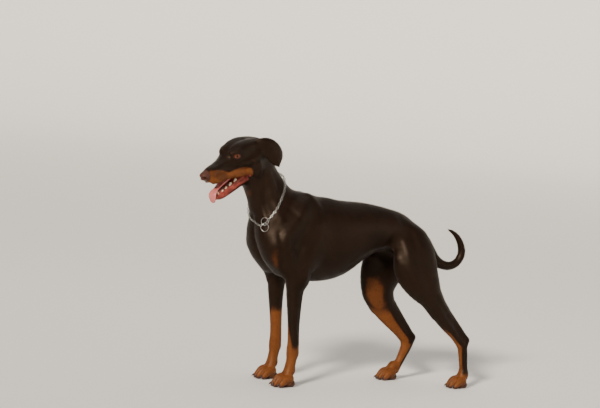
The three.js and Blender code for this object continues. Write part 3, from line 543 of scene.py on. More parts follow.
# Raised lines (muscle edges, folds, tendons) and, with a height below 0, grooves: height, width and places,
# which are drawn onto the skin. First those of both sides, given for the left one; a line along the middle
# counts twice, once from each side
TRUNK_LINES = [
    (3.6, 12, [[12, -42, 645], [32, -62, 622], [50, -74, 594], [52, -88, 560]]),
    (4.2, 12, [[0, -58, 622], [-32, -88, 578], [-56, -99, 545], [-82, -106, 516]]),
    (-3.8, 10, [[18, -72, 590], [-6, -100, 545], [-34, -108, 500], [-50, -112, 470]]),
    (4.4, 12, [[-88, -100, 510], [-76, -110, 480], [-60, -112, 445]]),
    (-4.4, 9, [[-104, -86, 510], [-100, -92, 465], [-84, -96, 420]]),
    (3.8, 10, [[44, -94, 510], [18, -108, 455], [-2, -112, 410], [-6, -104, 372]]),
    (-3.8, 9, [[-26, -114, 475], [-28, -114, 430], [-26, -112, 392]]),
    (4.0, 9, [[-184, -66, 729], [-186, -47, 681], [-174, -43, 645], [-161, -43, 599], [-150, -60, 560]]),
    (4.4, 10, [[-142, -50, 706], [-125, -55, 665], [-126, -59, 638], [-112, -70, 600], [-100, -84, 560]]),
    (-4.8, 9, [[-164, -54, 712], [-156, -50, 665], [-150, -52, 620], [-134, -66, 575]]),
    (-2.0, 9, [[-112, -46, 680], [-92, -56, 630], [-66, -74, 590], [-30, -96, 560]]),
    (-4.0, 10, [[-170, 0, 560], [-160, 0, 520], [-150, 0, 470], [-120, 0, 405]]),
    (-2.0, 9, [[60, 0, 645], [160, 0, 630], [260, 0, 620], [360, 0, 600]]),
    (0.7, 8, [[70, -70, 590], [84, -98, 520], [76, -94, 450]]),
    (0.7, 8, [[100, -70, 590], [116, -100, 520], [106, -94, 445]]),
    (0.7, 8, [[130, -70, 588], [148, -98, 520], [138, -92, 445]]),
    (0.7, 8, [[160, -68, 588], [178, -94, 525], [170, -88, 455]]),
    (3.5, 6, [[74, -39, 359], [77, -39, 359]]),
    (3.5, 6, [[150, -55, 393], [153, -55, 393]]),
    (3.0, 11, [[185, -72, 432], [240, -78, 466], [300, -80, 470]]),
]
FORE_LINES = [
    (2.8, 8, [[-44, -104, 345], [-38, -104, 300], [-32, -98, 250], [-26, -94, 205]]),
    (-2.4, 6, [[-12, -104, 322], [-9, -100, 270], [-4, -96, 215], [-2, -94, 165]]),
    (3.0, 10, [[12, -84, 372], [10, -84, 360]]),
    (2.0, 9, [[-34, -78, 132], [-33, -78, 112]]),
    (4.5, 6, [[6, -78, 116], [6, -78, 106]]),
    (-1.5, 6, [[-2, -96, 140], [-4, -96, 112]]),
]
LEFT_HIND_LINES = [
    (4.4, 12, [[338, -60, 574], [362, -80, 510], [380, -111, 444], [404, -118, 377], [440, -116, 330]]),
    (-4.2, 10, [[392, -76, 548], [412, -104, 480], [436, -122, 405], [462, -118, 350]]),
    (3.4, 9, [[306, -72, 503], [317, -76, 528], [330, -66, 560]]),
    (3.0, 11, [[300, -80, 470], [346, -94, 440], [385, -112, 402]]),
    (3.2, 8, [[469, -115, 309], [498, -112, 284], [526, -108, 257], [560, -100, 222]]),
    (-3.0, 7, [[500, -112, 310], [540, -104, 268], [580, -96, 225], [614, -92, 190]]),
    (1.6, 5, [[560, -100, 258], [574, -97, 232], [584, -94, 200], [606, -92, 172]]),
    (2.0, 7, [[632, -92, 152], [640, -92, 138]]),
]
RIGHT_HIND_LINES = [
    (4.4, 12, [[345, 62, 572], [338, 88, 500], [332, 104, 430], [338, 108, 370], [352, 108, 320]]),
    (-4.2, 10, [[392, 76, 546], [388, 112, 470], [380, 124, 395], [384, 118, 330]]),
    (3.5, 8, [[185, 40, 418], [240, 60, 440], [300, 60, 440], [330, 54, 432], [360, 40, 416]]),
    (3.0, 11, [[300, 80, 470], [330, 96, 440], [345, 108, 400]]),
    (3.2, 8, [[372, 112, 300], [396, 108, 256], [430, 100, 212], [460, 94, 180]]),
    (-3.0, 7, [[400, 108, 280], [430, 102, 236], [460, 96, 204], [484, 92, 172]]),
    (1.8, 6, [[366, 52, 292], [388, 56, 254], [420, 58, 214], [450, 60, 184]]),
    (2.0, 7, [[500, 92, 138], [496, 92, 122]]),
]

# The same on the head, in its own frame, for both sides, and on the lower jaw
HEAD_LINES = [
    (-2.2, 8, [[150, 0, -12], [125, 0, 6], [90, 0, 10], [60, 0, 8]]),
    (1.8, 7, [[142, 24, -32], [180, 21, -34], [220, 16, -36]]),
    (-1.6, 7, [[150, 34, -50], [190, 29, -52], [225, 24, -54]]),
    (-1.3, 4, [[112, 50, -76], [140, 46, -72], [175, 38, -70], [210, 30, -70]]),
    (-1.8, 2.4, [[264, 0, -66], [258, 0, -80], [246, 0, -98]]),
    (2.4, 5, [[102, 50, -88], [94, 50, -97], [97, 46, -107]]),
    (-1.6, 4, [[88, 54, -90], [84, 52, -104], [90, 46, -114]]),
    (-1.2, 3.5, [[116, 46, -40], [127, 43, -42], [140, 36, -42]]),
    (1.6, 7, [[60, 62, -60], [66, 58, -90], [84, 52, -112]]),
    (-1.5, 5, [[246, 16, -44], [250, 18, -56], [246, 18, -70]]),
]
JAW_LINES = [(-2.0, 3.5, [[112, 33, -93], [150, 30, -93], [190, 25, -92], [220, 19, -89]])]


# Widths past which a ridge has faded out, and how the ridges' places are drawn onto the skin
RIDGE_FADE = 2.4
SNAP_ROUNDS = 5
SNAP_STEP = 6
SNAP_SLOPE = 0.3


class Ridge:
    """A low rounded line raised on the skin, or sunk into it where its height is below 0."""

    def __init__(self, height, width, places):
        self.height, self.width = height, width
        self.at, self.run = places[:-1], np.diff(places, axis=0)
        self.low, self.high = places.min(0) - RIDGE_FADE * width, places.max(0) + RIDGE_FADE * width

    def rise(self, points):
        """How far the skin is raised at each point."""
        near = np.full(len(points), np.inf)
        for at, run in zip(self.at, self.run):
            off = points - at
            share = np.clip(off @ run / max(run @ run, 1e-6), 0, 1)
            near = np.minimum(near, ((off - share[:, None] * run) ** 2).sum(1))
        return self.height * np.exp(-near / self.width**2)


def off_middle(line):
    """True for a line that starts beside the middle of the head."""
    _, _, places = line
    return places[0][1] != 0


def all_ridges(field):
    """Every raised line and groove of the dog, drawn onto the field's surface."""
    lines = [(line, BODY, 1, 0) for line in LEFT_HIND_LINES + RIGHT_HIND_LINES]
    for side in (1, -1):
        lines += [(line, BODY, side, 0) for line in TRUNK_LINES]
        lines += [(line, BODY, side, RIGHT_FORE_SHIFT if side < 0 else 0) for line in FORE_LINES]
        lines += [(line, HEAD, side, 0) for line in HEAD_LINES if side > 0 or off_middle(line)]
        lines += [(line, JAW, side, 0) for line in JAW_LINES]
    rows = []
    for (_, _, places), where, side, shift in lines:
        rows.append(where[1](smooth_row([[x + shift, y * side, z] for x, y, z in places], 3)))
    at = np.vstack(rows)
    for _ in range(SNAP_ROUNDS):
        value, gradient = field.slope(at)
        steep = np.maximum((gradient**2).sum(1), SNAP_SLOPE)
        at -= gradient * np.clip(value / steep, -SNAP_STEP, SNAP_STEP)[:, None]
    parts = np.split(at, np.cumsum([len(row) for row in rows])[:-1])
    return [Ridge(height, width, part) for ((height, width, _), *_), part in zip(lines, parts)]


def all_shapes():
    """Every chain and sheet of the dog, in the order in which they blend or cut."""
    shapes = skull_shapes()
    for side in (1, -1):
        shapes += eye_shapes(side)
        shapes += nostril_shapes(side)
    shapes.append(Chain(MOUTH_SLIT, 3, HEAD, carve=True))
    shapes.append(Chain(PALATE, 4, HEAD, carve=True))
    shapes.append(Chain(LOWER_JAW, 4, JAW))
    shapes.append(Chain(JAW_TROUGH, 4, JAW, carve=True))
    shapes += body_shapes()
    return shapes + [Ear(side) for side in (1, -1)]


# The skin's distances are worked out block by block. The soles lie at SOLE above the floor, with an edge
# rounded by SOLE_EDGE, and EYE_ROOM is left free round each eyeball
BLOCK = 300
BLOCK_ROW = 100
SOLE = 0.2
SOLE_EDGE = 3
EYE_ROOM = 0.2
SLOPE_STEP = 0.3
EYE_CENTRES = [from_head(eye_centre(side)) for side in (1, -1)]


def blocks(points):
    """Numbers of the points that lie together, block by block of space."""
    cell = np.floor(points / BLOCK).astype(int) + BLOCK_ROW // 2
    key = (cell[:, 0] * BLOCK_ROW + cell[:, 1]) * BLOCK_ROW + cell[:, 2]
    order = np.argsort(key, kind="stable")
    return np.split(order, np.flatnonzero(np.diff(key[order])) + 1)


class Field:
    """Many shapes as one distance, drawn in by a depth all round, with room left for the eyeballs."""

    def __init__(self, shapes, depth):
        self.shapes, self.depth, self.ridges = shapes, depth, []

    def __call__(self, points):
        value = np.empty(len(points))
        for own in blocks(points):
            value[own] = self.within(points[own])
        return blend_cut(value + self.depth, points[:, 2] - SOLE, SOLE_EDGE)

    def within(self, points):
        """Values of points that lie near each other, from the shapes that reach them."""
        value = np.full(len(points), 1000.0)
        low, high = points.min(0), points.max(0)
        for shape in self.shapes + self.ridges:
            if (shape.low > high).any() or (shape.high < low).any():
                continue
            near = ((points > shape.low) & (points < shape.high)).all(1)
            if not near.any():
                continue
            if isinstance(shape, Ridge):
                value[near] -= shape.rise(points[near])
                continue
            join = blend_cut if shape.carve else blend_union
            value[near] = join(value[near], shape.distance(points[near]), shape.blend)
        for centre in EYE_CENTRES:
            ball = np.linalg.norm(points - centre, axis=1) - EYE_RADIUS - EYE_ROOM
            value = np.maximum(value, -ball)
        return value

    def slope(self, points):
        """Value and gradient at each point."""
        base = self(points)
        gradient = np.empty((len(points), 3))
        for axis in range(3):
            moved = points.copy()
            moved[:, axis] += SLOPE_STEP
            gradient[:, axis] = (self(moved) - base) / SLOPE_STEP
        return base, gradient


# Boxes of fine cells, low and high corners in the body's frame: face and jaw, crown and ears, and the paws
FINE_BOXES = [
    ((-412, -150, 600), (-196, 90, 850)),
    ((-200, -150, 725), (-90, 130, 850)),
    ((-90, -125, -10), (24, 125, 46)),
    ((385, 30, -10), (500, 125, 46)),
    ((580, -125, -10), (700, -30, 46)),
]


def evaluate(field, low, cell, guess, band):
    """Values on a lattice, worked out only where a first guess lies near the skin."""
    values = guess.copy()
    near = np.abs(guess) < band
    index = np.argwhere(near)
    if len(index):
        values[near] = field(low + index * cell)
    return values


def widen(values, times):
    """Values on a lattice carried to a finer one, by straight lines between the old places."""
    for axis in range(3):
        count = values.shape[axis]
        place = np.arange((count - 1) * times + 1) / times
        left = np.minimum(place.astype(int), count - 2)
        share = (place - left).reshape([-1 if k == axis else 1 for k in range(3)])
        values = values.take(left, axis) * (1 - share) + values.take(left + 1, axis) * share
    return values


def crossings(values, low, cell, key_of):
    """Where the skin crosses the lattice's edges, and the cells round each edge in turning order."""
    inside = values < 0
    points, rings = [], []
    for axis in range(3):
        first = inside.take(range(values.shape[axis] - 1), axis)
        second = inside.take(range(1, values.shape[axis]), axis)
        index = np.argwhere(first != second)
        u, v = (axis + 1) % 3, (axis + 2) % 3
        beside = index[:, [u, v]]
        last = np.array(values.shape)[[u, v]] - 1
        index = index[(beside > 0).all(1) & (beside < last).all(1)]
        far = index.copy()
        far[:, axis] += 1
        a, b = values[tuple(index.T)], values[tuple(far.T)]
        place = index.astype(float)
        place[:, axis] += a / (a - b)
        ring = []
        for back_u, back_v in ((1, 1), (0, 1), (0, 0), (1, 0)):
            beside = index.copy()
            beside[:, u] -= back_u
            beside[:, v] -= back_v
            ring.append(key_of(beside))
        ring = np.stack(ring, 1)
        ring[a >= 0] = ring[a >= 0, ::-1]
        points.append(low + place * cell)
        rings.append(ring)
    return np.vstack(points), np.vstack(rings)


LATTICE_LOW = np.array([-420.0, -145.0, -CELL * 1.5])
LATTICE_HIGH = np.array([690.0, 150.0, 850.0])

# A corner is moved onto the surface in SETTLE_ROUNDS, within SETTLE_ROOM of its cell, and SLOPE_LEAST keeps
# the steps short where the distance hardly changes
SETTLE_ROUNDS = 3
SETTLE_ROOM = 0.6
SLOPE_LEAST = 0.05


def fine_regions(count):
    """The cells that are worked out finely, and the first and last cell of each such region."""
    fine = np.zeros(count, bool)
    regions = []
    for low, high in FINE_BOXES:
        first = np.maximum(np.floor((np.array(low) - LATTICE_LOW) / CELL).astype(int), 1)
        last = np.minimum(np.ceil((np.array(high) - LATTICE_LOW) / CELL).astype(int), count - 1)
        fine[tuple(slice(f, l) for f, l in zip(first, last))] = True
        regions.append((first, last))
    head = (np.minimum(regions[0][0], regions[1][0]), np.maximum(regions[0][1], regions[1][1]))
    return fine, [head, *regions[2:]]


def to_surface(field, corners, reach):
    """One step of the corners towards the surface, along the slope and at most as far as the reach."""
    base, gradient = field.slope(corners)
    steep = np.maximum((gradient**2).sum(1), SLOPE_LEAST)
    return corners - gradient * np.clip(base / steep, -reach, reach)[:, None], gradient


def joined_cells(field, places, rings):
    """One corner for each cell, at the middle of its crossings, then moved onto the surface."""
    keys, corner = np.unique(rings, return_inverse=True)
    corner = corner.reshape(-1, 4)
    cells = corner.ravel()
    share = np.bincount(cells, minlength=len(keys))
    sums = [np.bincount(cells, np.repeat(places[:, k], 4), len(keys)) for k in range(3)]
    start = np.stack(sums, 1) / share[:, None]
    room = np.where(keys > 0, CELL / FINE, CELL)[:, None] * SETTLE_ROOM
    corners = start
    for _ in range(SETTLE_ROUNDS):
        corners, _ = to_surface(field, corners, CELL)
        corners = start + np.clip(corners - start, -room, room)
    return corners, corner


def skin_mesh(field):
    """Corners and faces of the skin, on wide cells with a third as wide ones in FINE_BOXES."""
    low = LATTICE_LOW
    count = np.ceil((LATTICE_HIGH - low) / CELL / 2).astype(int) * 2
    guess = field(low + np.argwhere(np.ones(count // 2 + 1)) * CELL * 2).reshape(count // 2 + 1)
    wide = evaluate(field, low, CELL, widen(guess, 2), 3 * CELL)
    fine, regions = fine_regions(count)
    wide_steps = np.array([count[1] * count[2], count[2], 1])
    fine_count = count * FINE
    fine_steps = np.array([fine_count[1] * fine_count[2], fine_count[2], 1])

    def wide_key(cells):
        return np.where(fine[tuple(cells.T)], 0, -1 - cells @ wide_steps)

    places, rings = crossings(wide, low, CELL, wide_key)
    whole = (rings != 0).all(1)
    places, rings = [places[whole]], [rings[whole]]
    for first, last in regions:
        first, last = first - 1, last + 1
        part = widen(wide[tuple(slice(f, l + 1) for f, l in zip(first, last))], FINE)
        start = low + first * CELL
        part = evaluate(field, start, CELL / FINE, part, CELL)

        def fine_key(cells, first=first):
            parent = cells // FINE + first
            own = (cells + first * FINE) @ fine_steps + 1
            return np.where(fine[tuple(parent.T)], own, -1 - parent @ wide_steps)

        more, ring = crossings(part, start, CELL / FINE, fine_key)
        whole = (ring > 0).any(1)
        places.append(more[whole])
        rings.append(ring[whole])
    return joined_cells(field, np.vstack(places), np.vstack(rings))


def soft_step(value, low, high):
    """0 below low, 1 above high, with a smooth rise between."""
    t = np.clip((value - low) / (high - low), 0, 1)
    return t * t * (3 - 2 * t)


def patch(points, stations, soft, where=BODY):
    """How far each point lies inside a soft-edged patch laid along stations, from 0 to 1."""
    chain = Chain(stations, 30, where)
    share = np.zeros(len(points))
    near = ((points > chain.low) & (points < chain.high)).all(1)
    share[near] = soft_step(-chain.distance(points[near]), -soft, soft)
    return share


# Rust marks in the head's frame for the left side: lips and muzzle, throat, cheek, and a dot over the eye
MUZZLE_RUST = [
    [242, 20, -70, 22, 32],
    [212, 30, -74, 22, 30],
    [188, 34, -82, 22, 20],
    [165, 38, -86, 24, 22],
    [130, 44, -90, 26, 27],
    [106, 48, -94, 18, 22],
]
# Painted shade: the rust on the front side of the muzzle, which catches less light than the flews, is
# darkened along these stations
MUZZLE_FRONT_SHADE = [[236, 24, -50, 22, 14], [206, 32, -66, 18, 20], [196, 32, -76, 13, 14]]
THROAT_RUST = [
    [200, 8, -152, 24, 24],
    [150, 8, -156, 28, 24],
    [110, 8, -160, 30, 22],
    [84, 10, -172, 22, 22],
]
CHEEK_RUST = [[96, 62, -47, 4, 3], [87, 64, -53, 5, 5], [83, 63, -62, 5, 5], [85, 60, -70, 4, 4]]
BROW_RUST = [[137, 29, -3, 6, 5], [127, 37, -4, 6, 5]]

# Each mark of the head with the softness of its edge and its strength, and how far painted shade darkens the
# rust on the front side of the muzzle
HEAD_RUST = [(MUZZLE_RUST, 5, 1), (THROAT_RUST, 16, 0.5), (CHEEK_RUST, 5, 0.6), (BROW_RUST, 4, 0.45)]
MUZZLE_SHADE_DEPTH = 0.32

# Rust marks of the body: one on each side of the chest, one under the tail and one inside the right knee,
# each with the softness of its edge and its strength
CHEST_RUST = [[-116, -96, 466, 10, 10], [-117, -92, 434, 14, 16], [-106, -86, 402, 11, 12]]
TAIL_RUST = [[512, 0, 440, 18, 14], [500, 0, 415, 20, 18]]
STIFLE_RUST = [
    [340, 58, 348, 22, 32],
    [340, 54, 318, 24, 42],
    [350, 54, 288, 22, 38],
    [376, 58, 262, 18, 24],
]
BODY_RUST = [
    (CHEST_RUST, 12, 0.58),
    (mirrored(CHEST_RUST), 12, 0.58),
    (TAIL_RUST, 8, 0.8),
    (STIFLE_RUST, 14, 0.72),
]

# Heights up to which a foreleg is rust on its inner side and all round, and a hind leg in front, on its inner
# side and all round, and how far out a foreleg's inner side reaches
FORE_RUST_TOP = 240
WRIST_RUST = 138
HIND_RUST_TOP = 205
HIND_INNER_TOP = 255
FOOT_RUST_TOP = 58
FORE_SPLIT = 67

# Line that parts rust from brown on each hind leg: how far back it lies at which height, the height of its
# bend, and how it slopes below and above that. It slants forward on the way out from OUTER_MIDDLE
LEFT_PARTING = (640, 146, 146, -0.12, -1.05)
RIGHT_PARTING = (500, 110, 130, 0.48, -1.0)
OUTER_MIDDLE = 76
OUTER_SLANT = 0.6

# Middle of each hind leg below the knee: heights, and how far back the middle lies there
LEFT_SHANK = ([40, 75, 116, 146, 156, 188, 228, 268], [653, 648, 642, 638, 628, 600, 562, 528])
RIGHT_SHANK = ([36, 66, 104, 125, 146, 176, 215, 262], [464, 478, 494, 500, 496, 466, 430, 396])


def fore_rust(x, out, z):
    """Rust of a foreleg: the inner side from high up, and all round from the wrist down."""
    wrist = soft_step(WRIST_RUST - z, -18, 22)
    slant = (FORE_RUST_TOP + 60 - z) / 6
    inner = soft_step(slant - (out - FORE_SPLIT), -5, 5)
    return np.maximum(wrist, inner * soft_step(FORE_RUST_TOP - z, -35, 25)) * (x < 60)


def hind_rust(x, out, z, side):
    """Rust of a hind leg: its front and inner side below the knee, and the whole foot."""
    back, height, bend, below, above = LEFT_PARTING if side < 0 else RIGHT_PARTING
    parting = back + (z - height) * np.where(z < bend, below, above) + (OUTER_MIDDLE - out) * OUTER_SLANT
    front = soft_step(parting - x, 0, 9) * soft_step(HIND_RUST_TOP - z, -25, 25)
    centre = np.interp(z, *(LEFT_SHANK if side < 0 else RIGHT_SHANK))
    inner = soft_step(80 - out, -4, 8) * soft_step(HIND_INNER_TOP - z, -40, 30)
    inner *= soft_step(centre + 8 - x, -6, 10) * 0.85
    foot = soft_step(FOOT_RUST_TOP - z, -12, 16) * 0.9
    return np.maximum(np.maximum(front, inner), foot) * (x > 250)


def leg_rust(points, side):
    """Rust of the legs on one side."""
    x, y, z = points.T
    out = y * side
    return np.where(out > 0, np.maximum(fore_rust(x, out, z), hind_rust(x, out, z, side)), 0)


def below_mouth(head):
    """True for places of the head that lie below the middle of the open mouth."""
    row = smooth_row(MOUTH_SLIT, 4)
    return head[:, 2] < np.interp(head[:, 0], row[:, 0], row[:, 2])


# Ball of the nose's leather, and how far flesh and dark lips reach past the hollows they line
NOSE_MIDDLE = np.array([262, 0, -53])
NOSE_RADIUS = 22.5
FLESH_REACH = 1.2
LIP_REACH = 2.6


def grown_row(stations, wider, deeper):
    """Stations made wider and deeper all along."""
    return [[*s[:3], s[3] + wider, s[4] + deeper] for s in stations]


def all_rust(points, head, in_head):
    """Share of rust at each point, from the tables above."""
    rust = np.zeros(len(points))
    for side in (-1, 1):
        for stations, soft, strength in HEAD_RUST:
            row = stations if side > 0 else mirrored(stations)
            rust = np.maximum(rust, strength * patch(points, row, soft, HEAD))
        rust = np.maximum(rust, leg_rust(points, side))
    for row, soft, strength in BODY_RUST:
        rust = np.maximum(rust, strength * patch(points, row, soft))
    # Painted shade darkens the rust on the front side of the muzzle
    for row in both(MUZZLE_FRONT_SHADE):
        rust *= 1 - MUZZLE_SHADE_DEPTH * patch(points, row, 8, HEAD)
    x, _, z = head.T
    bridge = soft_step(z + 48 - 12 * soft_step(x, 190, 206), 0, 9) * soft_step(x, 100, 130)
    return rust * (1 - bridge * in_head)


def all_flesh(points, head, in_head):
    """Share of pink flesh at each point: the mouth's hollow, the gums and the inner side of the lower lip."""
    level = to_jaw(points)[:, 2]
    flesh = np.zeros(len(points))
    for stations, where in ((PALATE, HEAD), (JAW_TROUGH, JAW)):
        row = grown_row(stations, FLESH_REACH, FLESH_REACH)
        flesh = np.maximum(flesh, patch(points, row, 0.8, where))
    gum = soft_step(level, -113, -107) * (level < -70) * (head[:, 0] > 96) * in_head
    return np.maximum(flesh, gum * below_mouth(head))


def lid_and_lip_rims(points, in_head):
    """Share of dark bare skin along the lips and round the eyes."""
    rim = patch(points, grown_row(MOUTH_SLIT, 0, LIP_REACH), 1.2, HEAD) * in_head
    for side in (-1, 1):
        for lift in LID_BARS:
            row = lid_row(side, lift * 0.7, stand=-0.5, thickness=4.0)
            rim = np.maximum(rim, patch(points, row, 1, HEAD) * 0.8)
    return rim


def paw_leather(points):
    """Share of bare skin under the toes and on the pads."""
    leather = np.zeros(len(points))
    for x, y, size in PAWS.values():
        sole = soft_step(9 * size - points[:, 2], -1.5, 1.5)
        heel = patch(points, [[x + s[0] * size, y + s[1] * size, 10, 17 * size, 13] for s in PAD], 2)
        near = (np.abs(points[:, 0] - x + 30) < 60) & (np.abs(points[:, 1] - y) < 45)
        leather = np.maximum(leather, np.maximum(sole, heel) * near)
    return leather


def markings(points):
    """Shares of rust, bare leather and pink flesh at each point of the skin."""
    head = to_head(points)
    in_head = (points[:, 2] > 600) & (head[:, 0] > 0)
    rust = all_rust(points, head, in_head)
    flesh = all_flesh(points, head, in_head)
    nose = soft_step(NOSE_RADIUS - np.linalg.norm(head - NOSE_MIDDLE, axis=1), -1.2, 1.2) * in_head
    leather = np.maximum(nose, lid_and_lip_rims(points, in_head) * (1 - flesh))
    leather = np.maximum(leather, paw_leather(points))
    return rust * (1 - leather) * (1 - flesh), leather * (1 - flesh), flesh


# The chains that the coat lies along, and whether it runs from their first station to their last or back
LIE_SHAPES = [
    (TRUNK, BODY, 1),
    (NECK, BODY, 1),
    (UPPER_ARM, BODY, 1),
    (mirrored(UPPER_ARM), BODY, 1),
    (FORELEG, BODY, 1),
    (mirrored(FORELEG), BODY, 1),
    (LEFT_THIGH, BODY, 1),
    (LEFT_GASKIN, BODY, 1),
    (LEFT_HOCK, BODY, 1),
    (RIGHT_THIGH, BODY, 1),
    (RIGHT_GASKIN, BODY, 1),
    (RIGHT_HOCK, BODY, 1),
    (TAIL, BODY, 1),
    (CRANIUM, HEAD, -1),
    (MUZZLE, HEAD, -1),
    (LOWER_JAW, JAW, -1),
]
LIE_SPREAD = 14
EAR_BASE = (46, 42, -24)
EAR_TIP = (-2, 85, -103)


def lie_of_coat(points, normals):
    """Direction in which the hairs lie at each point, along the skin."""
    total = np.zeros((len(points), 3))
    for stations, where, sign in LIE_SHAPES:
        chain = Chain(stations, 60, where)
        near = ((points > chain.low) & (points < chain.high)).all(1)
        if near.any():
            away, flow = chain.distance(points[near], True)
            total[near] += sign * flow * np.exp(-np.clip(away, -60, 200) / LIE_SPREAD)[:, None]
    for side in (1, -1):
        base, tip = (from_head([x, side * y, z]) for x, y, z in (EAR_BASE, EAR_TIP))
        near = np.linalg.norm(points - (tip + base) / 2, axis=1) < 60
        ear = near & (np.abs(to_head(points)[:, 1]) > 57)
        total[ear] = tip - base
    total += np.array([0.02, 0, -0.01])
    total -= normals * (total * normals).sum(1)[:, None]
    return total / np.maximum(np.linalg.norm(total, axis=1), 1e-9)[:, None]


def write_attribute(mesh, name, values, kind="FLOAT"):
    """An attribute with one value for each corner of the mesh."""
    layer = mesh.attributes.new(name, kind, "POINT")
    layer.data.foreach_set("value" if kind == "FLOAT" else "vector", np.asarray(values, float).ravel())


def plain_faces(rings):
    """Faces as lists of corners, with a corner that stands twice in a row left out."""
    faces = []
    for ring in rings.tolist():
        face = [c for i, c in enumerate(ring) if c != ring[i - 1]]
        if len(face) > 2:
            faces.append(face)
    return faces


def linked(name, data):
    """A new object in the scene with the given mesh, light or lens."""
    thing = bpy.data.objects.new(name, data)
    bpy.context.scene.collection.objects.link(thing)
    return thing


def add_mesh(name, corners, faces):
    """A smooth mesh object from corners in the body's frame in millimetres."""
    mesh = bpy.data.meshes.new(name)
    mesh.from_pydata(((np.asarray(corners) - MIDDLE) * MM).tolist(), [], faces)
    mesh.validate()
    mesh.shade_smooth()
    return linked(name, mesh)


def applied(piece):
    """The piece with its modifiers worked into a plain mesh."""
    evaluated = piece.evaluated_get(bpy.context.evaluated_depsgraph_get())
    mesh = bpy.data.meshes.new_from_object(evaluated)
    piece.modifiers.clear()
    piece.data = mesh
    return piece


def corners_of(mesh):
    """Corners of a mesh in the body's frame in millimetres."""
    places = np.empty(len(mesh.vertices) * 3)
    mesh.vertices.foreach_get("co", places)
    return places.reshape(-1, 3) / MM + MIDDLE


# Rounds in which normals are evened out: more on the body than on the head, which lies before HEAD_BEFORE,
# and on the feet below FEET_BELOW. FIT_REACH is how far thinned corners may move back onto the surface
BODY_ROUNDS = 4
FINE_ROUNDS = 2
HEAD_BEFORE = -190
FEET_BELOW = 60
FIT_REACH = 0.5


def evened(mesh, normals, wide):
    """Normals averaged with their neighbours', more often where the cells are wide."""
    ends = np.empty(len(mesh.edges) * 2, np.int32)
    mesh.edges.foreach_get("vertices", ends)
    a, b = ends.reshape(-1, 2).T
    for step in range(BODY_ROUNDS):
        total = normals * 1.0
        for k in range(3):
            total[:, k] += np.bincount(a, normals[b, k], len(normals))
            total[:, k] += np.bincount(b, normals[a, k], len(normals))
        total /= np.maximum(np.linalg.norm(total, axis=1), 1e-9)[:, None]
        normals = np.where(wide[:, None] | (step < FINE_ROUNDS), total, normals)
    return normals


def make_skin(field):
    """The whole skin as one piece, thinned where it is nearly flat and shaded by the field's own slope."""
    corners, rings = skin_mesh(field)
    skin = add_mesh("skin", corners, plain_faces(rings))
    count = sum(len(face.vertices) - 2 for face in skin.data.polygons)
    thin = skin.modifiers.new("fewer faces", "DECIMATE")
    thin.ratio = min(SKIN_FACES / count, 1)
    applied(skin)
    corners, gradient = to_surface(field, corners_of(skin.data), FIT_REACH)
    skin.data.vertices.foreach_set("co", ((corners - MIDDLE) * MM).ravel())
    normals = gradient / np.maximum(np.linalg.norm(gradient, axis=1), 1e-6)[:, None]
    body = (corners[:, 0] > HEAD_BEFORE) & (corners[:, 2] > FEET_BELOW)
    normals = evened(skin.data, normals, body)
    skin.data.shade_smooth()
    skin.data.normals_split_custom_set_from_vertices(normals.tolist())
    return skin, corners, normals


def dress_skin(skin, points, normals):
    """Markings, lie and finish of the skin, and its coat."""
    marks = markings(points)
    for name, values in zip(("rust", "leather", "flesh"), marks):
        write_attribute(skin.data, name, values)
    lie = lie_of_coat(points, normals)
    write_attribute(skin.data, "upright", soft_step(np.abs(lie[:, 2]), 0.45, 0.75))
    skin.data.materials.append(skin_finish())
    return make_coat(skin, points, normals, lie, marks)


class Value:
    """One socket of a material, so that sums in the shader read as Python."""

    def __init__(self, finish, socket):
        self.finish, self.socket = finish, socket

    def sum(self, operation, first, second=0.0, clamp=False):
        settings = {"operation": operation, "use_clamp": clamp}
        node = self.finish.add("ShaderNodeMath", settings, {0: first, 1: second})
        return Value(self.finish, node.outputs[0])

    def __add__(self, other):
        return self.sum("ADD", self, other)

    def __radd__(self, other):
        return self.sum("ADD", other, self)

    def __sub__(self, other):
        return self.sum("SUBTRACT", self, other)

    def __rsub__(self, other):
        return self.sum("SUBTRACT", other, self)

    def __mul__(self, other):
        return self.sum("MULTIPLY", self, other)

    def __rmul__(self, other):
        return self.sum("MULTIPLY", other, self)

    def clamped(self):
        return self.sum("ADD", self, 0.0, True)


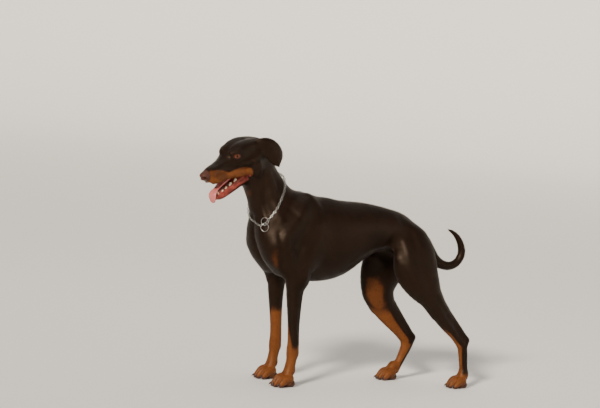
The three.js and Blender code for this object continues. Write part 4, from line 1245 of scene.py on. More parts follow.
class Finish:
    """A material, its shader and the one method that adds any other node to it."""

    def __init__(self, name):
        self.material = bpy.data.materials.new(name)
        self.material.use_nodes = True
        self.tree = self.material.node_tree
        self.shader = self.tree.nodes["Principled BSDF"]
        self.objects = self.add("ShaderNodeTexCoord").outputs["Object"]

    def put(self, socket, value):
        """A number, a colour or a link set on a socket."""
        if isinstance(value, Value):
            value = value.socket
        if isinstance(value, bpy.types.NodeSocket):
            self.tree.links.new(value, socket)
        else:
            socket.default_value = value

    def add(self, kind, settings=None, inputs=None):
        """A node of any type, with its settings made first and then its inputs."""
        node = self.tree.nodes.new(kind)
        for name, value in (settings or {}).items():
            setattr(node, name, value)
        for name, value in (inputs or {}).items():
            self.put(node.inputs[name], value)
        return node

    def attribute(self, name):
        """A value that the mesh carries at its corners."""
        return Value(self, self.add("ShaderNodeAttribute", {"attribute_name": name}).outputs["Fac"])

    def noise(self, scale, detail=2.0, stretch=(1, 1, 1)):
        """Noise over the piece, from 0 to 1, with its scale in cells for each metre."""
        place = self.add("ShaderNodeMapping", None, {"Vector": self.objects, "Scale": stretch}).outputs[0]
        inputs = {"Vector": place, "Scale": scale, "Detail": detail, "Roughness": 0.5}
        return Value(self, self.add("ShaderNodeTexNoise", None, inputs).outputs["Fac"])

    def cells(self, scale):
        """Distance to the middle of the nearest of many rounded cells over the piece."""
        inputs = {"Vector": self.objects, "Scale": scale}
        return Value(self, self.add("ShaderNodeTexVoronoi", None, inputs).outputs["Distance"])

    def mix(self, share, first, second):
        """A colour between two others."""
        inputs = {"Factor": share, 6: first, 7: second}
        node = self.add("ShaderNodeMix", {"data_type": "RGBA", "clamp_factor": True}, inputs)
        return node.outputs[2]

    def bump(self, height, depth):
        """Fine relief, its depth in metres."""
        inputs = {"Height": height, "Distance": depth, "Strength": 1.0}
        return self.add("ShaderNodeBump", None, inputs).outputs[0]

    def set(self, **values):
        """Inputs of the shader by name, with spaces written as underscores."""
        for name, value in values.items():
            self.put(self.shader.inputs[name.replace("_", " ")], value)
        return self.material


def light_of(value):
    """A screen's value from 0 to 255 turned to the shader's own light scale."""
    share = value / 255
    return share / 12.92 if value < 11 else ((share + 0.055) / 1.055) ** 2.4


def colour(red, green, blue):
    """A colour given as it looks on a screen."""
    return (light_of(red), light_of(green), light_of(blue), 1)


CHOCOLATE = colour(28, 15, 9)
DEEP_CHOCOLATE = colour(15, 8, 4)
RUST = colour(90, 47, 20)
PALE_RUST = colour(118, 71, 33)
DIM_RUST_AND_SHADE = colour(56, 28, 13)
BURNT_RUST = colour(64, 31, 13)
BROWN_HAIR = colour(38, 22, 12)
RUST_HAIR = colour(118, 72, 35)
LIVER = colour(86, 54, 46)
DARK_LIVER = colour(52, 32, 28)
PINK = colour(152, 66, 56)
DEEP_PINK = colour(98, 34, 30)


def coat_colour(finish, hair=None):
    """Colour of skin and coat alike: chocolate, rust marks, bare leather and pink flesh."""
    patches = finish.noise(14, 3)
    fine = finish.noise(420, 2)
    edge = finish.noise(160, 3)
    brown = finish.mix((patches - 0.3) * 1.6, DEEP_CHOCOLATE, CHOCOLATE)
    orange = finish.mix((fine - 0.3) * 1.8, RUST, PALE_RUST)
    blotch = finish.noise(38, 2)
    rust = finish.attribute("rust")
    uneven = (edge - 0.5) * 0.5 + (blotch - 0.5) * 0.9
    rust = ((rust + uneven * (1 - rust) * rust * 4 - 0.5) * 2.0 + 0.5).clamped()
    orange = finish.mix((blotch - 0.4) * 1.5, orange, finish.mix(fine, BURNT_RUST, RUST))
    # Middling rust turns a dim brown: the faint chest and cheek marks and the soft edges of all marks, and
    # also the painted shade on the muzzle's front side
    full = ((finish.attribute("rust") - 0.45) * 2.2).clamped()
    base = finish.mix(rust, brown, finish.mix(full, DIM_RUST_AND_SHADE, orange))
    if hair is not None:
        base = finish.mix(hair * 0.45, base, finish.mix(rust * full, BROWN_HAIR, RUST_HAIR))
    liver = finish.mix((fine - 0.3) * 1.8, DARK_LIVER, LIVER)
    base = finish.mix(finish.attribute("leather"), base, liver)
    pink = finish.mix((finish.noise(90, 3) - 0.35) * 2.4, DEEP_PINK, PINK)
    return finish.mix(finish.attribute("flesh"), base, pink)


# Weak warm gloss of the coat
COAT_GLOSS = {"Specular_IOR_Level": 0.18, "Specular_Tint": (1.0, 0.76, 0.6, 1.0)}


def coat_finish():
    """Hair: the skin's own colours, each tuft a little lighter or darker than the next."""
    finish = Finish("coat")
    tone = finish.attribute("tone")
    return finish.set(
        Base_Color=coat_colour(finish, tone),
        Roughness=0.38 + tone * 0.12,
        **COAT_GLOSS,
    )


def eye_finish():
    """Dark amber iris with fine rays round a black pupil, a dark rim and a veined white, all wet."""
    finish = Finish("eye")
    gaze = finish.attribute("gaze")
    rays = finish.noise(900, 3)
    amber = finish.mix((rays - 0.3) * 2, colour(70, 34, 14), colour(140, 76, 34))
    pupil = ((0.33 - gaze) * 30).clamped()
    iris = finish.mix(pupil, amber, colour(6, 5, 5))
    limbus = ((gaze - 0.62) * 14).clamped()
    white = finish.mix((finish.noise(300, 4) - 0.45) * 3, colour(150, 128, 118), colour(120, 60, 52))
    ball = finish.mix(limbus, iris, colour(20, 12, 8))
    ball = finish.mix(((gaze - 0.74) * 14).clamped(), ball, white)
    return finish.set(Base_Color=ball, Roughness=0.05, Specular_IOR_Level=0.34)


def tongue_finish():
    """Wet pink tongue with fine papillae."""
    finish = Finish("tongue")
    papillae = finish.cells(900.0)
    tint = finish.mix((finish.noise(70, 3) - 0.3) * 1.8, colour(178, 90, 88), colour(206, 122, 120))
    return finish.set(
        Base_Color=finish.mix(papillae * 0.5, tint, colour(164, 78, 74)),
        Roughness=0.34 + papillae * 0.12,
        Normal=finish.bump(papillae * -1.0 + finish.noise(200, 3) * 0.6, 0.0003),
        Coat_Weight=0.25,
        Coat_Roughness=0.2,
        Subsurface_Weight=0.15,
        Subsurface_Scale=0.003,
    )


def tooth_finish():
    """Ivory teeth, a little yellower in patches."""
    finish = Finish("teeth")
    ivory = finish.mix((finish.noise(150, 3) - 0.3) * 1.8, colour(212, 198, 170), colour(184, 158, 120))
    return finish.set(Base_Color=ivory, Roughness=0.22, Coat_Weight=0.4, Coat_Roughness=0.08)


def claw_finish():
    """Dark brown horn, streaked along its length."""
    finish = Finish("claws")
    streaks = finish.noise(500, 2, (0.2, 1, 1))
    horn = finish.mix((streaks - 0.3) * 1.8, colour(22, 14, 11), colour(62, 45, 36))
    return finish.set(Base_Color=horn, Roughness=0.38 + streaks * 0.15, Normal=finish.bump(streaks, 0.0001))


def steel_finish():
    """Bright steel wire, rubbed dull in places."""
    finish = Finish("steel")
    rubbed = finish.noise(350, 3)
    steel = finish.mix((rubbed - 0.35) * 2, colour(176, 175, 172), colour(112, 110, 106))
    return finish.set(Base_Color=steel, Metallic=1.0, Roughness=0.14 + rubbed * 0.16)


def skin_finish():
    """Skin: satin under the coat, pebbled leather on nose and pads, and wet in the mouth."""
    finish = Finish("skin")
    leather, flesh = finish.attribute("leather"), finish.attribute("flesh")
    bare = (leather + flesh).clamped()
    strands = finish.noise(900, 2, (0.18, 1, 1))
    falling = finish.noise(900, 2, (1, 1, 0.18))
    upright = finish.attribute("upright")
    hairs = strands * (1 - upright) + falling * upright
    pebble = finish.cells(700.0)
    height = hairs * (1 - bare) + pebble * leather * 0.9 + finish.noise(170, 4) * flesh * 2.2
    rough = 0.43 * (1 - bare) + leather * 0.42 + flesh * 0.36 + (finish.noise(60) - 0.5) * 0.14
    return finish.set(
        Base_Color=coat_colour(finish),
        Roughness=rough,
        Normal=finish.bump(height, 0.00035),
        Coat_Weight=flesh * 0.16,
        Coat_Roughness=0.32,
        **COAT_GLOSS,
    )


def set_camera():
    """The photograph's view: from the dog's left and a little in front."""
    a, e, r = (math.radians(v) for v in (CAMERA_AZIMUTH, CAMERA_ELEVATION, CAMERA_ROLL))
    back = Vector((math.sin(a) * math.cos(e), -math.cos(a) * math.cos(e), math.sin(e)))
    right = Vector((math.cos(a), math.sin(a), 0))
    up = back.cross(right)
    level, upright = right * math.cos(r) + up * math.sin(r), up * math.cos(r) - right * math.sin(r)
    tilted = Matrix((level, upright, back)).transposed()
    lens = bpy.data.cameras.new("camera")
    lens.sensor_width, lens.lens, lens.clip_end = SENSOR, LENS, 100
    camera = linked("camera", lens)
    place = Vector((CAMERA_TARGET - MIDDLE) * MM) + back * CAMERA_DISTANCE * MM
    camera.matrix_world = Matrix.Translation(place) @ tilted.to_4x4()
    bpy.context.scene.camera = camera


# Studio: a pale floor that turns up into a round wall. Lights with their place in metres, size and power
FLOOR_RINGS = (0.4, 2, 5, 8)
FLOOR_RADIUS = 11.0
FLOOR_AROUND = 96
WALL_RADIUS = 3.0
WALL_HEIGHT = 9.0
FLOOR_COLOUR = (0.72, 0.71, 0.69, 1)
FLOOR_ROUGHNESS = 0.85
SKY_COLOUR = (0.93, 0.95, 1, 1)
SKY_STRENGTH = 0.25
SUN_FROM = (-3.4, -3.2, 2.6)
SUN_POWER = 5.6
SUN_WIDTH = 9
SUN_COLOUR = (1, 0.91, 0.78)
SOFT_LIGHTS = [
    ("above", (0.3, 0.6, 3.6), 3.0, 36, (1, 0.96, 0.9)),
    ("fill", (2.6, -3.6, 1.6), 1.6, 36, (1, 0.95, 0.88)),
]
LIT_PLACE = (0, 0, 0.45)


def make_floor():
    """A pale floor whose rim turns up, so that no edge shows from any side."""
    bend = [math.radians(d) for d in range(0, 91, 10)]
    profile = [(radius, 0) for radius in FLOOR_RINGS]
    profile += [(FLOOR_RADIUS + WALL_RADIUS * math.sin(b), WALL_RADIUS * (1 - math.cos(b))) for b in bend]
    profile.append((FLOOR_RADIUS + WALL_RADIUS, WALL_HEIGHT))
    around = FLOOR_AROUND
    corners = [(0, 0, 0)]
    for radius, height in profile:
        for j in range(around):
            angle = 2 * math.pi * j / around
            corners.append((radius * math.cos(angle), radius * math.sin(angle), height))
    faces = [(0, 1 + j, 1 + (j + 1) % around) for j in range(around)]
    for i in range(len(profile) - 1):
        for j in range(around):
            a, b = 1 + i * around + j, 1 + i * around + (j + 1) % around
            faces.append((a, a + around, b + around, b))
    mesh = bpy.data.meshes.new("floor")
    mesh.from_pydata(corners, [], faces)
    mesh.shade_smooth()
    floor = linked("floor", mesh)
    material = bpy.data.materials.new("pale floor")
    material.use_nodes = True
    shader = material.node_tree.nodes["Principled BSDF"]
    shader.inputs["Base Color"].default_value = FLOOR_COLOUR
    shader.inputs["Roughness"].default_value = FLOOR_ROUGHNESS
    mesh.materials.append(material)
    floor.visible_shadow = False


def light_studio():
    """A low warm sun from the camera's left, a broad light above and a weak fill from the right."""
    world = bpy.data.worlds.new("studio")
    bpy.context.scene.world = world
    world.use_nodes = True
    sky = world.node_tree.nodes["Background"]
    sky.inputs["Color"].default_value = SKY_COLOUR
    sky.inputs["Strength"].default_value = SKY_STRENGTH
    sun = bpy.data.lights.new("sun", "SUN")
    sun.energy, sun.angle, sun.color = SUN_POWER, math.radians(SUN_WIDTH), SUN_COLOUR
    linked("sun", sun).rotation_euler = Vector(SUN_FROM).to_track_quat("Z", "Y").to_euler()
    for name, place, size, power, tint in SOFT_LIGHTS:
        light = bpy.data.lights.new(name, "AREA")
        light.size, light.energy, light.color = size, power, tint
        lamp = linked(name, light)
        lamp.location = place
        lamp.rotation_euler = (Vector(LIT_PLACE) - Vector(place)).to_track_quat("-Z", "Y").to_euler()


# Tongue in the jaw's frame, the depth and width of its groove, and how its ends are rounded
TONGUE = [
    [112, 0, -73, 13, 5.5],
    [150, 0, -70, 15, 5.5],
    [195, 1, -69, 13, 5],
    [222, 2, -71, 10.5, 4.5],
    [234, 3, -72, 13.5, 4.3],
    [245, 3, -76, 16, 4],
    [251, 3, -85, 16, 3.6],
    [254, 3, -94, 13, 3],
]
TONGUE_GROOVE = 1.6
TONGUE_GROOVE_WIDTH = 2.2
TONGUE_AROUND = 40
TONGUE_CAP = (0.35, 0.62, 0.82, 0.95)

# Teeth: place along the jaw, place across, height and root radius
UPPER_TEETH = [
    [243, 4, 6, 2.6],
    [240, 10, 7, 3.0],
    [231, 15.5, 13, 4],
    [214, 18.5, 5, 3.4],
    [198, 20.5, 6, 4.4],
    [178, 23, 8, 5.4],
    [155, 25.5, 7, 5.4],
]
LOWER_TEETH = [
    [246, 3.5, 4, 2.4],
    [242, 8, 5, 2.8],
    [230, 10.5, 11.2, 3.6],
    [211, 13.5, 3.2, 3],
    [194, 14.5, 4, 4],
    [173, 16, 6, 5.2],
    [150, 18, 5.2, 5],
]
UPPER_GUM = -71
LOWER_GUM = -84
TOOTH_ROOT = 4
TOOTH_BEND = 0.5

# A tooth higher than this is a fang, and one further forward than this is a front tooth
FANG_HEIGHT = 11
FRONT_TEETH = 235

# Points of a tooth: shift along the jaw in root radii, share of the height and share of the thickness
ONE_POINT = [(0, 1, 1)]
THREE_POINTS = [(0, 1, 1), (0.9, 0.5, 0.75), (-0.9, 0.5, 0.75)]

# Claws: tip of each toe from the middle of the heel, on the left half of a paw, and how far each claw turns
# outward. All of them point down by CLAW_DROP degrees and are arched by CLAW_BEND of their radius
CLAWS = [[-67, 10, 12], [-54, 25, 12]]
CLAW_SPLAYS = (0.05, 0.16)
CLAW_LENGTH = 15
CLAW_RADIUS = 3.4
CLAW_DROP = 32
CLAW_BEND = 0.9

# Chain collar: its loop lies on the neck in a plane that falls towards the chest and the left side. The rings
# hang where the loop has turned by RINGS_TURN, each so far below it and so far out from the chest
COLLAR_MIDDLE = np.array([-118.0, 0.0, 634.0])
COLLAR_DOWN = np.array([-0.525, 0.0, -0.851])
COLLAR_SIDE = np.array([-0.252, 0.955, 0.156])
COLLAR_STAND = 5.2
LINK_PITCH = 8.2
LINK_LENGTH = 12.2
LINK_WIDTH = 8.8
LINK_WIRE = 2.1
LINK_TWIST = 45
RINGS_TURN = -0.66
RING_RADII = (12.5, 14.0)
RING_WIRE = 2.4
RINGS = [("collar_ring_1", -3, 11), ("collar_ring_2", 15, 4)]
LOOP_STEPS = 240


def tube(rows):
    """Corners and faces of a tube with closed ends through rows of points, each row running once round."""
    count, around = len(rows), len(rows[0])
    faces = []
    for i in range(count - 1):
        for j in range(around):
            a, b = i * around + j, i * around + (j + 1) % around
            faces.append((a, b, b + around, a + around))
    faces.append(tuple(range(around))[::-1])
    faces.append(tuple((count - 1) * around + j for j in range(around)))
    return np.vstack(rows), faces


def tongue_row(chain, i, k):
    """One turn round the tongue at a station, flat below and grooved above."""
    row = []
    for angle in np.arange(TONGUE_AROUND) * 2 * math.pi / TONGUE_AROUND:
        across, lift = math.cos(angle), math.sin(angle)
        above = lift > 0
        thick = chain.deep[i] * (abs(lift) ** 0.8) * (1 if above else -1)
        hollow = math.exp(-((across * chain.wide[i] / TONGUE_GROOVE_WIDTH) ** 2))
        groove = TONGUE_GROOVE * hollow * (1 if above else -0.4)
        row.append(chain.at[i] + chain.across[k] * across * chain.wide[i] + chain.down[k] * (thick - groove))
    return np.array(row)


def make_tongue():
    """The tongue, wide and limp over the front of the jaw, with a groove along its middle."""
    chain = Chain(TONGUE, where=JAW, steps=8)
    last = len(chain.at) - 1
    rows = [tongue_row(chain, i, min(i, last - 1)) for i in range(last + 1)]
    for end, way in ((0, -1), (last, 1)):
        rim = rows[end if way < 0 else -1]
        middle = rim.mean(0)
        caps = []
        for share in TONGUE_CAP:
            size = math.sqrt(1 - share**2)
            reach = chain.along[min(end, last - 1)] * way * share * chain.wide[end] * 0.8
            caps.append(middle + (rim - middle) * size + reach)
        rows = caps[::-1] + rows if way < 0 else rows + caps
    tongue = add_mesh("tongue_skin", *tube(rows))
    right_way_out(tongue)
    tongue.data.materials.append(tongue_finish())
    return tongue


def right_way_out(piece):
    """Faces turned outward on a closed piece."""
    shell = bmesh.new()
    shell.from_mesh(piece.data)
    bmesh.ops.recalc_face_normals(shell, faces=shell.faces)
    shell.to_mesh(piece.data)
    shell.free()


EYE_AROUND = 48
EYE_ROWS = 49
CORNEA_RISE = 0.9
CORNEA_REACH = 0.42


def make_eye(name, side):
    """An eyeball with its cornea standing a little proud, and for each corner its angle from the gaze."""
    out, back, up = (HEAD_TURN @ axis for axis in eye_axes(side))
    centre = from_head(eye_centre(side))
    turns = np.arange(EYE_AROUND)[:, None] * 2 * math.pi / EYE_AROUND
    rows, gaze = [], []
    for step in np.linspace(0.02, math.pi - 0.02, EYE_ROWS):
        angle = math.pi * (step / math.pi) ** 1.3
        reach = EYE_RADIUS - 0.1 + CORNEA_RISE * math.exp(-((angle / CORNEA_REACH) ** 4))
        ring = math.cos(angle) * out + math.sin(angle) * (np.cos(turns) * back + np.sin(turns) * up)
        rows.append(centre + ring * reach)
        gaze += [angle] * EYE_AROUND
    eye = add_mesh(name, *tube(rows))
    write_attribute(eye.data, "gaze", gaze)
    right_way_out(eye)
    eye.data.materials.append(eye_finish())
    return eye


# Sections of a lid and of the pink inner lid: angle from the edge and stand over the eyeball, once round.
# Each sheet of an eye runs between two shares of the way to its corners
LID_EDGE = [(0, 0.15), (-1, 0.55), (-0.5, 1.0), (2.5, 1.5)]
LID_OUTSIDE = [(8, 1.9), (16, 2.1), (26, 1.9), (EDGE_COVER, 0.9)]
LID_INSIDE = [(EDGE_COVER, 0.1), (20, 0.1), (6, 0.1)]
UPPER_LID = LID_EDGE + LID_OUTSIDE + LID_INSIDE
LOWER_LID = [(-angle, stand) for angle, stand in UPPER_LID]
HAW = [
    (-8, 0.05),
    (HAW_RISE * 0.7, 0.35),
    (HAW_RISE, 0.3),
    (HAW_RISE * 1.05, 0.1),
    (HAW_RISE * 0.6, -0.3),
]
LID_ENDS = (-1.12, 1.12)
HAW_ENDS = (-0.98, 0.9)
LID_ROWS = 41
LID_SHEETS = [
    (EDGE_LIFTS[0], UPPER_LID, LID_ENDS, 0),
    (EDGE_LIFTS[1], LOWER_LID, LID_ENDS, 0),
    (EDGE_LIFTS[1], HAW, HAW_ENDS, 1),
]


def lid_sheet(side, lift, profile, ends):
    """Rows of a lid bent over the eyeball between its corners, each row once round its section."""
    out, back, up = (HEAD_TURN @ axis for axis in eye_axes(side))
    centre = from_head(eye_centre(side))
    rows = []
    for share in np.linspace(*ends, LID_ROWS):
        sweep = math.radians(EDGE_REACH * share)
        edge = lift * max(math.cos(math.pi / 2 * share), 0) ** 0.75 if abs(share) < 1 else 0.0
        level = out * math.cos(sweep) + back * math.sin(sweep)
        row = []
        for angle, stand in profile:
            rise = math.radians(edge + angle)
            row.append(centre + (level * math.cos(rise) + up * math.sin(rise)) * (EYE_RADIUS + stand))
        rows.append(np.array(row))
    return rows


def make_lids(name, side, finish):
    """The two lids of an eye, dark along their edges, and the pink inner lid in its front corner."""
    corners, faces, leather, flesh = [], [], [], []
    for lift, profile, ends, pink in LID_SHEETS:
        places, rings = tube(lid_sheet(side, lift, profile, ends))
        first = len(flesh)
        faces += [tuple(k + first for k in ring) for ring in rings]
        corners.append(places)
        dark = [0.0 if pink else float(soft_step(np.array(7 - abs(angle)), -3, 3)) for angle, _ in profile]
        leather += dark * (len(places) // len(profile))
        flesh += [pink] * len(places)
    lids = add_mesh(name, np.vstack(corners), faces)
    bare = np.zeros(len(flesh))
    for label, values in (("leather", leather), ("flesh", flesh), ("rust", bare), ("upright", bare)):
        write_attribute(lids.data, label, values)
    right_way_out(lids)
    lids.data.materials.append(finish)
    return lids


class Tree:
    """A geometry tree with named inputs, whose nodes are added by one method."""

    def __init__(self, name, *sizes):
        self.tree = bpy.data.node_groups.new(name, "GeometryNodeTree")
        face = self.tree.interface
        face.new_socket("Geometry", in_out="INPUT", socket_type="NodeSocketGeometry")
        for label in sizes:
            face.new_socket(label, in_out="INPUT", socket_type="NodeSocketFloat")
        face.new_socket("Geometry", in_out="OUTPUT", socket_type="NodeSocketGeometry")
        self.given = self.tree.nodes.new("NodeGroupInput")

    def add(self, kind, settings=None, inputs=None):
        """A node of any type, with its settings made first and then its inputs."""
        node = self.tree.nodes.new(kind)
        for name, value in (settings or {}).items():
            setattr(node, name, value)
        for name, value in (inputs or {}).items():
            if isinstance(value, bpy.types.NodeSocket):
                self.tree.links.new(value, node.inputs[name])
            else:
                node.inputs[name].default_value = value
        return node

    def size(self, label):
        """One of the tree's named inputs."""
        return self.given.outputs[label]

    def sum(self, operation, first, second=0.0):
        """A sum on two numbers."""
        return self.add("ShaderNodeMath", {"operation": operation}, {0: first, 1: second}).outputs[0]

    def named(self, label):
        """A vector attribute of the points that the tree is given."""
        settings = {"data_type": "FLOAT_VECTOR"}
        node = self.add("GeometryNodeInputNamedAttribute", settings, {"Name": label})
        return node.outputs["Attribute"]

    def turned(self):
        """The turn that lays a shape's X along "aim" and its Z towards "back"."""
        ways = {"Primary Axis": self.named("aim"), "Secondary Axis": self.named("back")}
        settings = {"primary_axis": "X", "secondary_axis": "Z"}
        return self.add("FunctionNodeAxesToRotation", settings, ways).outputs[0]

    def placed(self, shape, turned):
        """A shape on each of the given points."""
        shaped = {"Instance": shape, "Rotation": turned, "Scale": self.named("size")}
        points = {"Points": self.size("Geometry"), **shaped}
        return self.add("GeometryNodeInstanceOnPoints", None, points).outputs[0]

    def circle(self, corners, radius):
        """A closed ring, as the section of a wire or a horn."""
        inputs = {"Resolution": corners, "Radius": radius}
        return self.add("GeometryNodeCurvePrimitiveCircle", None, inputs).outputs["Curve"]

    def finish(self, shape, material):
        """The instances made real, with their material, sent to the output."""
        real = self.add("GeometryNodeRealizeInstances", None, {"Geometry": shape}).outputs[0]
        smooth = self.add("GeometryNodeSetShadeSmooth", None, {"Geometry": real}).outputs[0]
        dressed = {"Geometry": smooth, "Material": material}
        done = self.add("GeometryNodeSetMaterial", None, dressed).outputs[0]
        self.tree.links.new(done, self.tree.nodes.new("NodeGroupOutput").inputs["Geometry"])
        return self.tree


def grown(name, places, vectors, tree, sizes):
    """A plain mesh from a geometry tree that puts one shape on each place."""
    mesh = bpy.data.meshes.new(name)
    mesh.from_pydata(((np.asarray(places) - MIDDLE) * MM).tolist(), [], [])
    for label, values in vectors.items():
        write_attribute(mesh, label, values, "FLOAT_VECTOR")
    piece = linked(name, mesh)
    grow = piece.modifiers.new("grow", "NODES")
    grow.node_group = tree
    for item in tree.interface.items_tree:
        if item.in_out == "INPUT" and item.name in sizes:
            grow[item.identifier] = sizes[item.name]
    return applied(piece)


def horn_tree(material):
    """A tapered horn on each point, along "aim", arched towards "back" by Bend and sized by "size"."""
    tree = Tree("horns", "Bend")
    ends = {"Resolution": 9, "Start": (0, 0, 0), "Middle": (0.5, 0, 0), "End": (1, 0, 0)}
    spine = tree.add("GeometryNodeCurveQuadraticBezier", None, ends).outputs[0]
    share = tree.add("GeometryNodeSplineParameter").outputs["Factor"]
    left = tree.sum("SUBTRACT", 1.0, tree.sum("POWER", share, 1.6))
    taper = tree.sum("MAXIMUM", tree.sum("POWER", left, 0.8), 0.03)
    swept = {"Curve": spine, "Profile Curve": tree.circle(10, 1.0), "Scale": taper, "Fill Caps": True}
    straight = tree.add("GeometryNodeCurveToMesh", None, swept).outputs[0]
    place = tree.add("GeometryNodeInputPosition").outputs[0]
    along = tree.add("ShaderNodeSeparateXYZ", None, {"Vector": place}).outputs["X"]
    arch = tree.sum("MULTIPLY", along, tree.sum("SUBTRACT", 1.0, along))
    rise = tree.sum("MULTIPLY", tree.sum("MULTIPLY", arch, 4.0), tree.size("Bend"))
    lift = tree.add("ShaderNodeCombineXYZ", None, {"Z": rise}).outputs[0]
    horn = tree.add("GeometryNodeSetPosition", None, {"Geometry": straight, "Offset": lift}).outputs[0]
    return tree.finish(tree.placed(horn, tree.turned()), material)


def link_tree(material):
    """A round-ended link on each point, along "aim", twisted one way and the other from "back" by turns."""
    tree = Tree("links", "Length", "Width", "Wire", "Twist")
    long = tree.sum("SUBTRACT", tree.size("Length"), tree.size("Wire"))
    wide = tree.sum("SUBTRACT", tree.size("Width"), tree.size("Wire"))
    sides = {"Width": long, "Height": wide}
    box = tree.add("GeometryNodeCurvePrimitiveQuadrilateral", None, sides).outputs[0]
    bend = {"Curve": box, "Count": 6, "Radius": tree.sum("MULTIPLY", wide, 0.499), "Limit Radius": True}
    outline = tree.add("GeometryNodeFilletCurve", {"mode": "POLY"}, bend).outputs[0]
    half = tree.sum("MULTIPLY", tree.size("Wire"), 0.5)
    swept = {"Curve": outline, "Profile Curve": tree.circle(8, half)}
    link = tree.add("GeometryNodeCurveToMesh", None, swept).outputs[0]
    parity = tree.sum("MODULO", tree.add("GeometryNodeInputIndex").outputs[0], 2.0)
    sign = tree.sum("SUBTRACT", tree.sum("MULTIPLY", parity, 2.0), 1.0)
    way = tree.sum("MULTIPLY", sign, tree.size("Twist"))
    lean = tree.add("FunctionNodeAxisAngleToRotation", None, {"Axis": (1, 0, 0), "Angle": way}).outputs[0]
    both_ways = {"Rotation": tree.turned(), "Rotate By": lean}
    turned = tree.add("FunctionNodeRotateRotation", {"rotation_space": "LOCAL"}, both_ways).outputs[0]
    return tree.finish(tree.placed(link, turned), material)


def make_horns(name, rows, finish, bend):
    """Claws or teeth: rows of place, way out, way bent and size along, across and deep."""
    places, aims, backs, sizes = (np.array([row[i] for row in rows], float) for i in range(4))
    vectors = {"aim": aims, "back": backs, "size": sizes * MM}
    return grown(name, places, vectors, horn_tree(finish), {"Bend": bend})


def claw_rows():
    """The claws of all four paws."""
    drop = math.radians(CLAW_DROP)
    rows = []
    for x, y, size in PAWS.values():
        for (dx, dy, dz), splay in zip(CLAWS, CLAW_SPLAYS):
            for side in (1, -1):
                place = [x + dx * size, y + side * dy * size, dz * size]
                aim = [-math.cos(drop), side * splay, -math.sin(drop)]
                measure = [CLAW_LENGTH * size, CLAW_RADIUS * size * 0.85, CLAW_RADIUS * size * 1.15]
                rows.append((place, aim, [0, 0, 1], measure))
    return rows


def tooth_rows(teeth, gum, up, axes, place):
    """Teeth of one jaw: single points in front, and three-pointed ones behind the fangs."""
    rows = []
    for x, y, height, radius in teeth:
        for side in (1, -1):
            fang = height > FANG_HEIGHT
            front = x > FRONT_TEETH
            lean = [0.12 if fang or front else 0.0, side * (0.10 if fang else 0.04), up]
            aim, back = axes @ np.array(lean), axes @ np.array([-1.0, 0.0, 0.0])
            across = radius * (1.0 if front else 0.8 if fang else 0.6)
            along = radius * (0.7 if front else 1.0)
            for shift, tall, thick in ONE_POINT if fang or front else THREE_POINTS:
                root = [x + shift * radius, side * y, gum - up * TOOTH_ROOT]
                length = height * tall + TOOTH_ROOT
                rows.append((place([root])[0], aim, back, [length, across * thick, along * thick]))
    return rows


def collar_at(flesh, turns):
    """Points of the chain's loop at given turns, where it lies on the neck."""
    out = COLLAR_DOWN * np.cos(turns) + COLLAR_SIDE * np.sin(turns)
    reach = np.full((len(turns), 1), 30.0)
    for _ in range(40):
        value = flesh(COLLAR_MIDDLE + out * reach)[:, None]
        reach -= np.clip(value, -12, 12) * 0.8
    return COLLAR_MIDDLE + out * (reach + COLLAR_STAND)


def even_loop(points, pitch):
    """Points an even pitch apart round a closed loop, an even number of them."""
    closed = np.vstack([points, points[:1]])
    run = np.concatenate([[0], np.cumsum(np.linalg.norm(np.diff(closed, axis=0), axis=1))])
    count = 2 * round(run[-1] / pitch / 2)
    stops = np.arange(count) * run[-1] / count
    return np.stack([np.interp(stops, run, closed[:, k]) for k in range(3)], 1)


def resting_place(flesh, start, lift):
    """Where a ring lies on the chest below a place, and the way out from the chest there."""
    place = np.array(start, float)
    for _ in range(8):
        around = place + np.vstack([np.zeros(3), np.eye(3)])
        value = flesh(around)
        out = (value[1:] - value[0]) / np.linalg.norm(value[1:] - value[0])
        place = place + out * (lift - value[0])
    return place, out


def make_collar(flesh):
    """The chain with its links lying by turns one way and the other, and its two rings."""
    turns = np.arange(LOOP_STEPS)[:, None] * 2 * math.pi / LOOP_STEPS
    loop = even_loop(collar_at(flesh, turns), LINK_PITCH)
    hang = collar_at(flesh, np.array([[RINGS_TURN]]))[0]
    rings = [(name, *resting_place(flesh, hang - [0, 0, drop], lift)) for name, drop, lift in RINGS]
    (_, upper, way_out), (_, lower, _) = rings
    places = np.vstack([loop, (upper + lower) / 2])
    along = np.vstack([np.roll(loop, -1, 0) - np.roll(loop, 1, 0), lower - upper])
    out = np.vstack([loop - COLLAR_MIDDLE, way_out])
    sizes = {"Length": LINK_LENGTH * MM, "Width": LINK_WIDTH * MM, "Wire": LINK_WIRE * MM}
    sizes["Twist"] = math.radians(LINK_TWIST)
    tree = link_tree(steel_finish())
    vectors = {"aim": along, "back": out, "size": np.ones_like(places)}
    pieces = {"collar_chain": grown("chain_links", places, vectors, tree, sizes)}
    for (name, place, way), radius in zip(rings, RING_RADII):
        width = 2 * radius + RING_WIRE
        ring = {"Length": width * MM, "Width": width * MM, "Wire": RING_WIRE * MM, "Twist": 0.0}
        vectors = {"aim": [[0, 0, -1]], "back": [way], "size": [[1, 1, 1]]}
        pieces[name] = grown(name + "_wire", [place], vectors, tree, ring)
    for piece in pieces.values():
        right_way_out(piece)
    return pieces


# Coat: tufts in all, hairs in each, and the size of a hair where the coat is longest. Lift and yaw are the
# usual lean of a hair from the skin and from the lie of the coat, each with its spread; the hairs of a tuft
# stand TUFT_STEP apart and fan out by TUFT_FAN
TUFTS = 118000
HAIRS = 3
HAIR_LENGTH = 9.5
HAIR_WIDTH = 0.62
HAIR_SLENDER = 0.085
HAIR_SINK = 0.25
HAIR_LIFT = 0.10
LIFT_SPREAD = 0.04
HAIR_YAW = 0.16
LENGTH_SHARES = (0.75, 1.2)
TUFT_STEP = 0.9
TUFT_FAN = 0.12
TUFT_SHIFT = 1.2
HAIR_LEAN = 0.3
BAKE_PATCH = 0.003
COAT_LIMIT = 195000

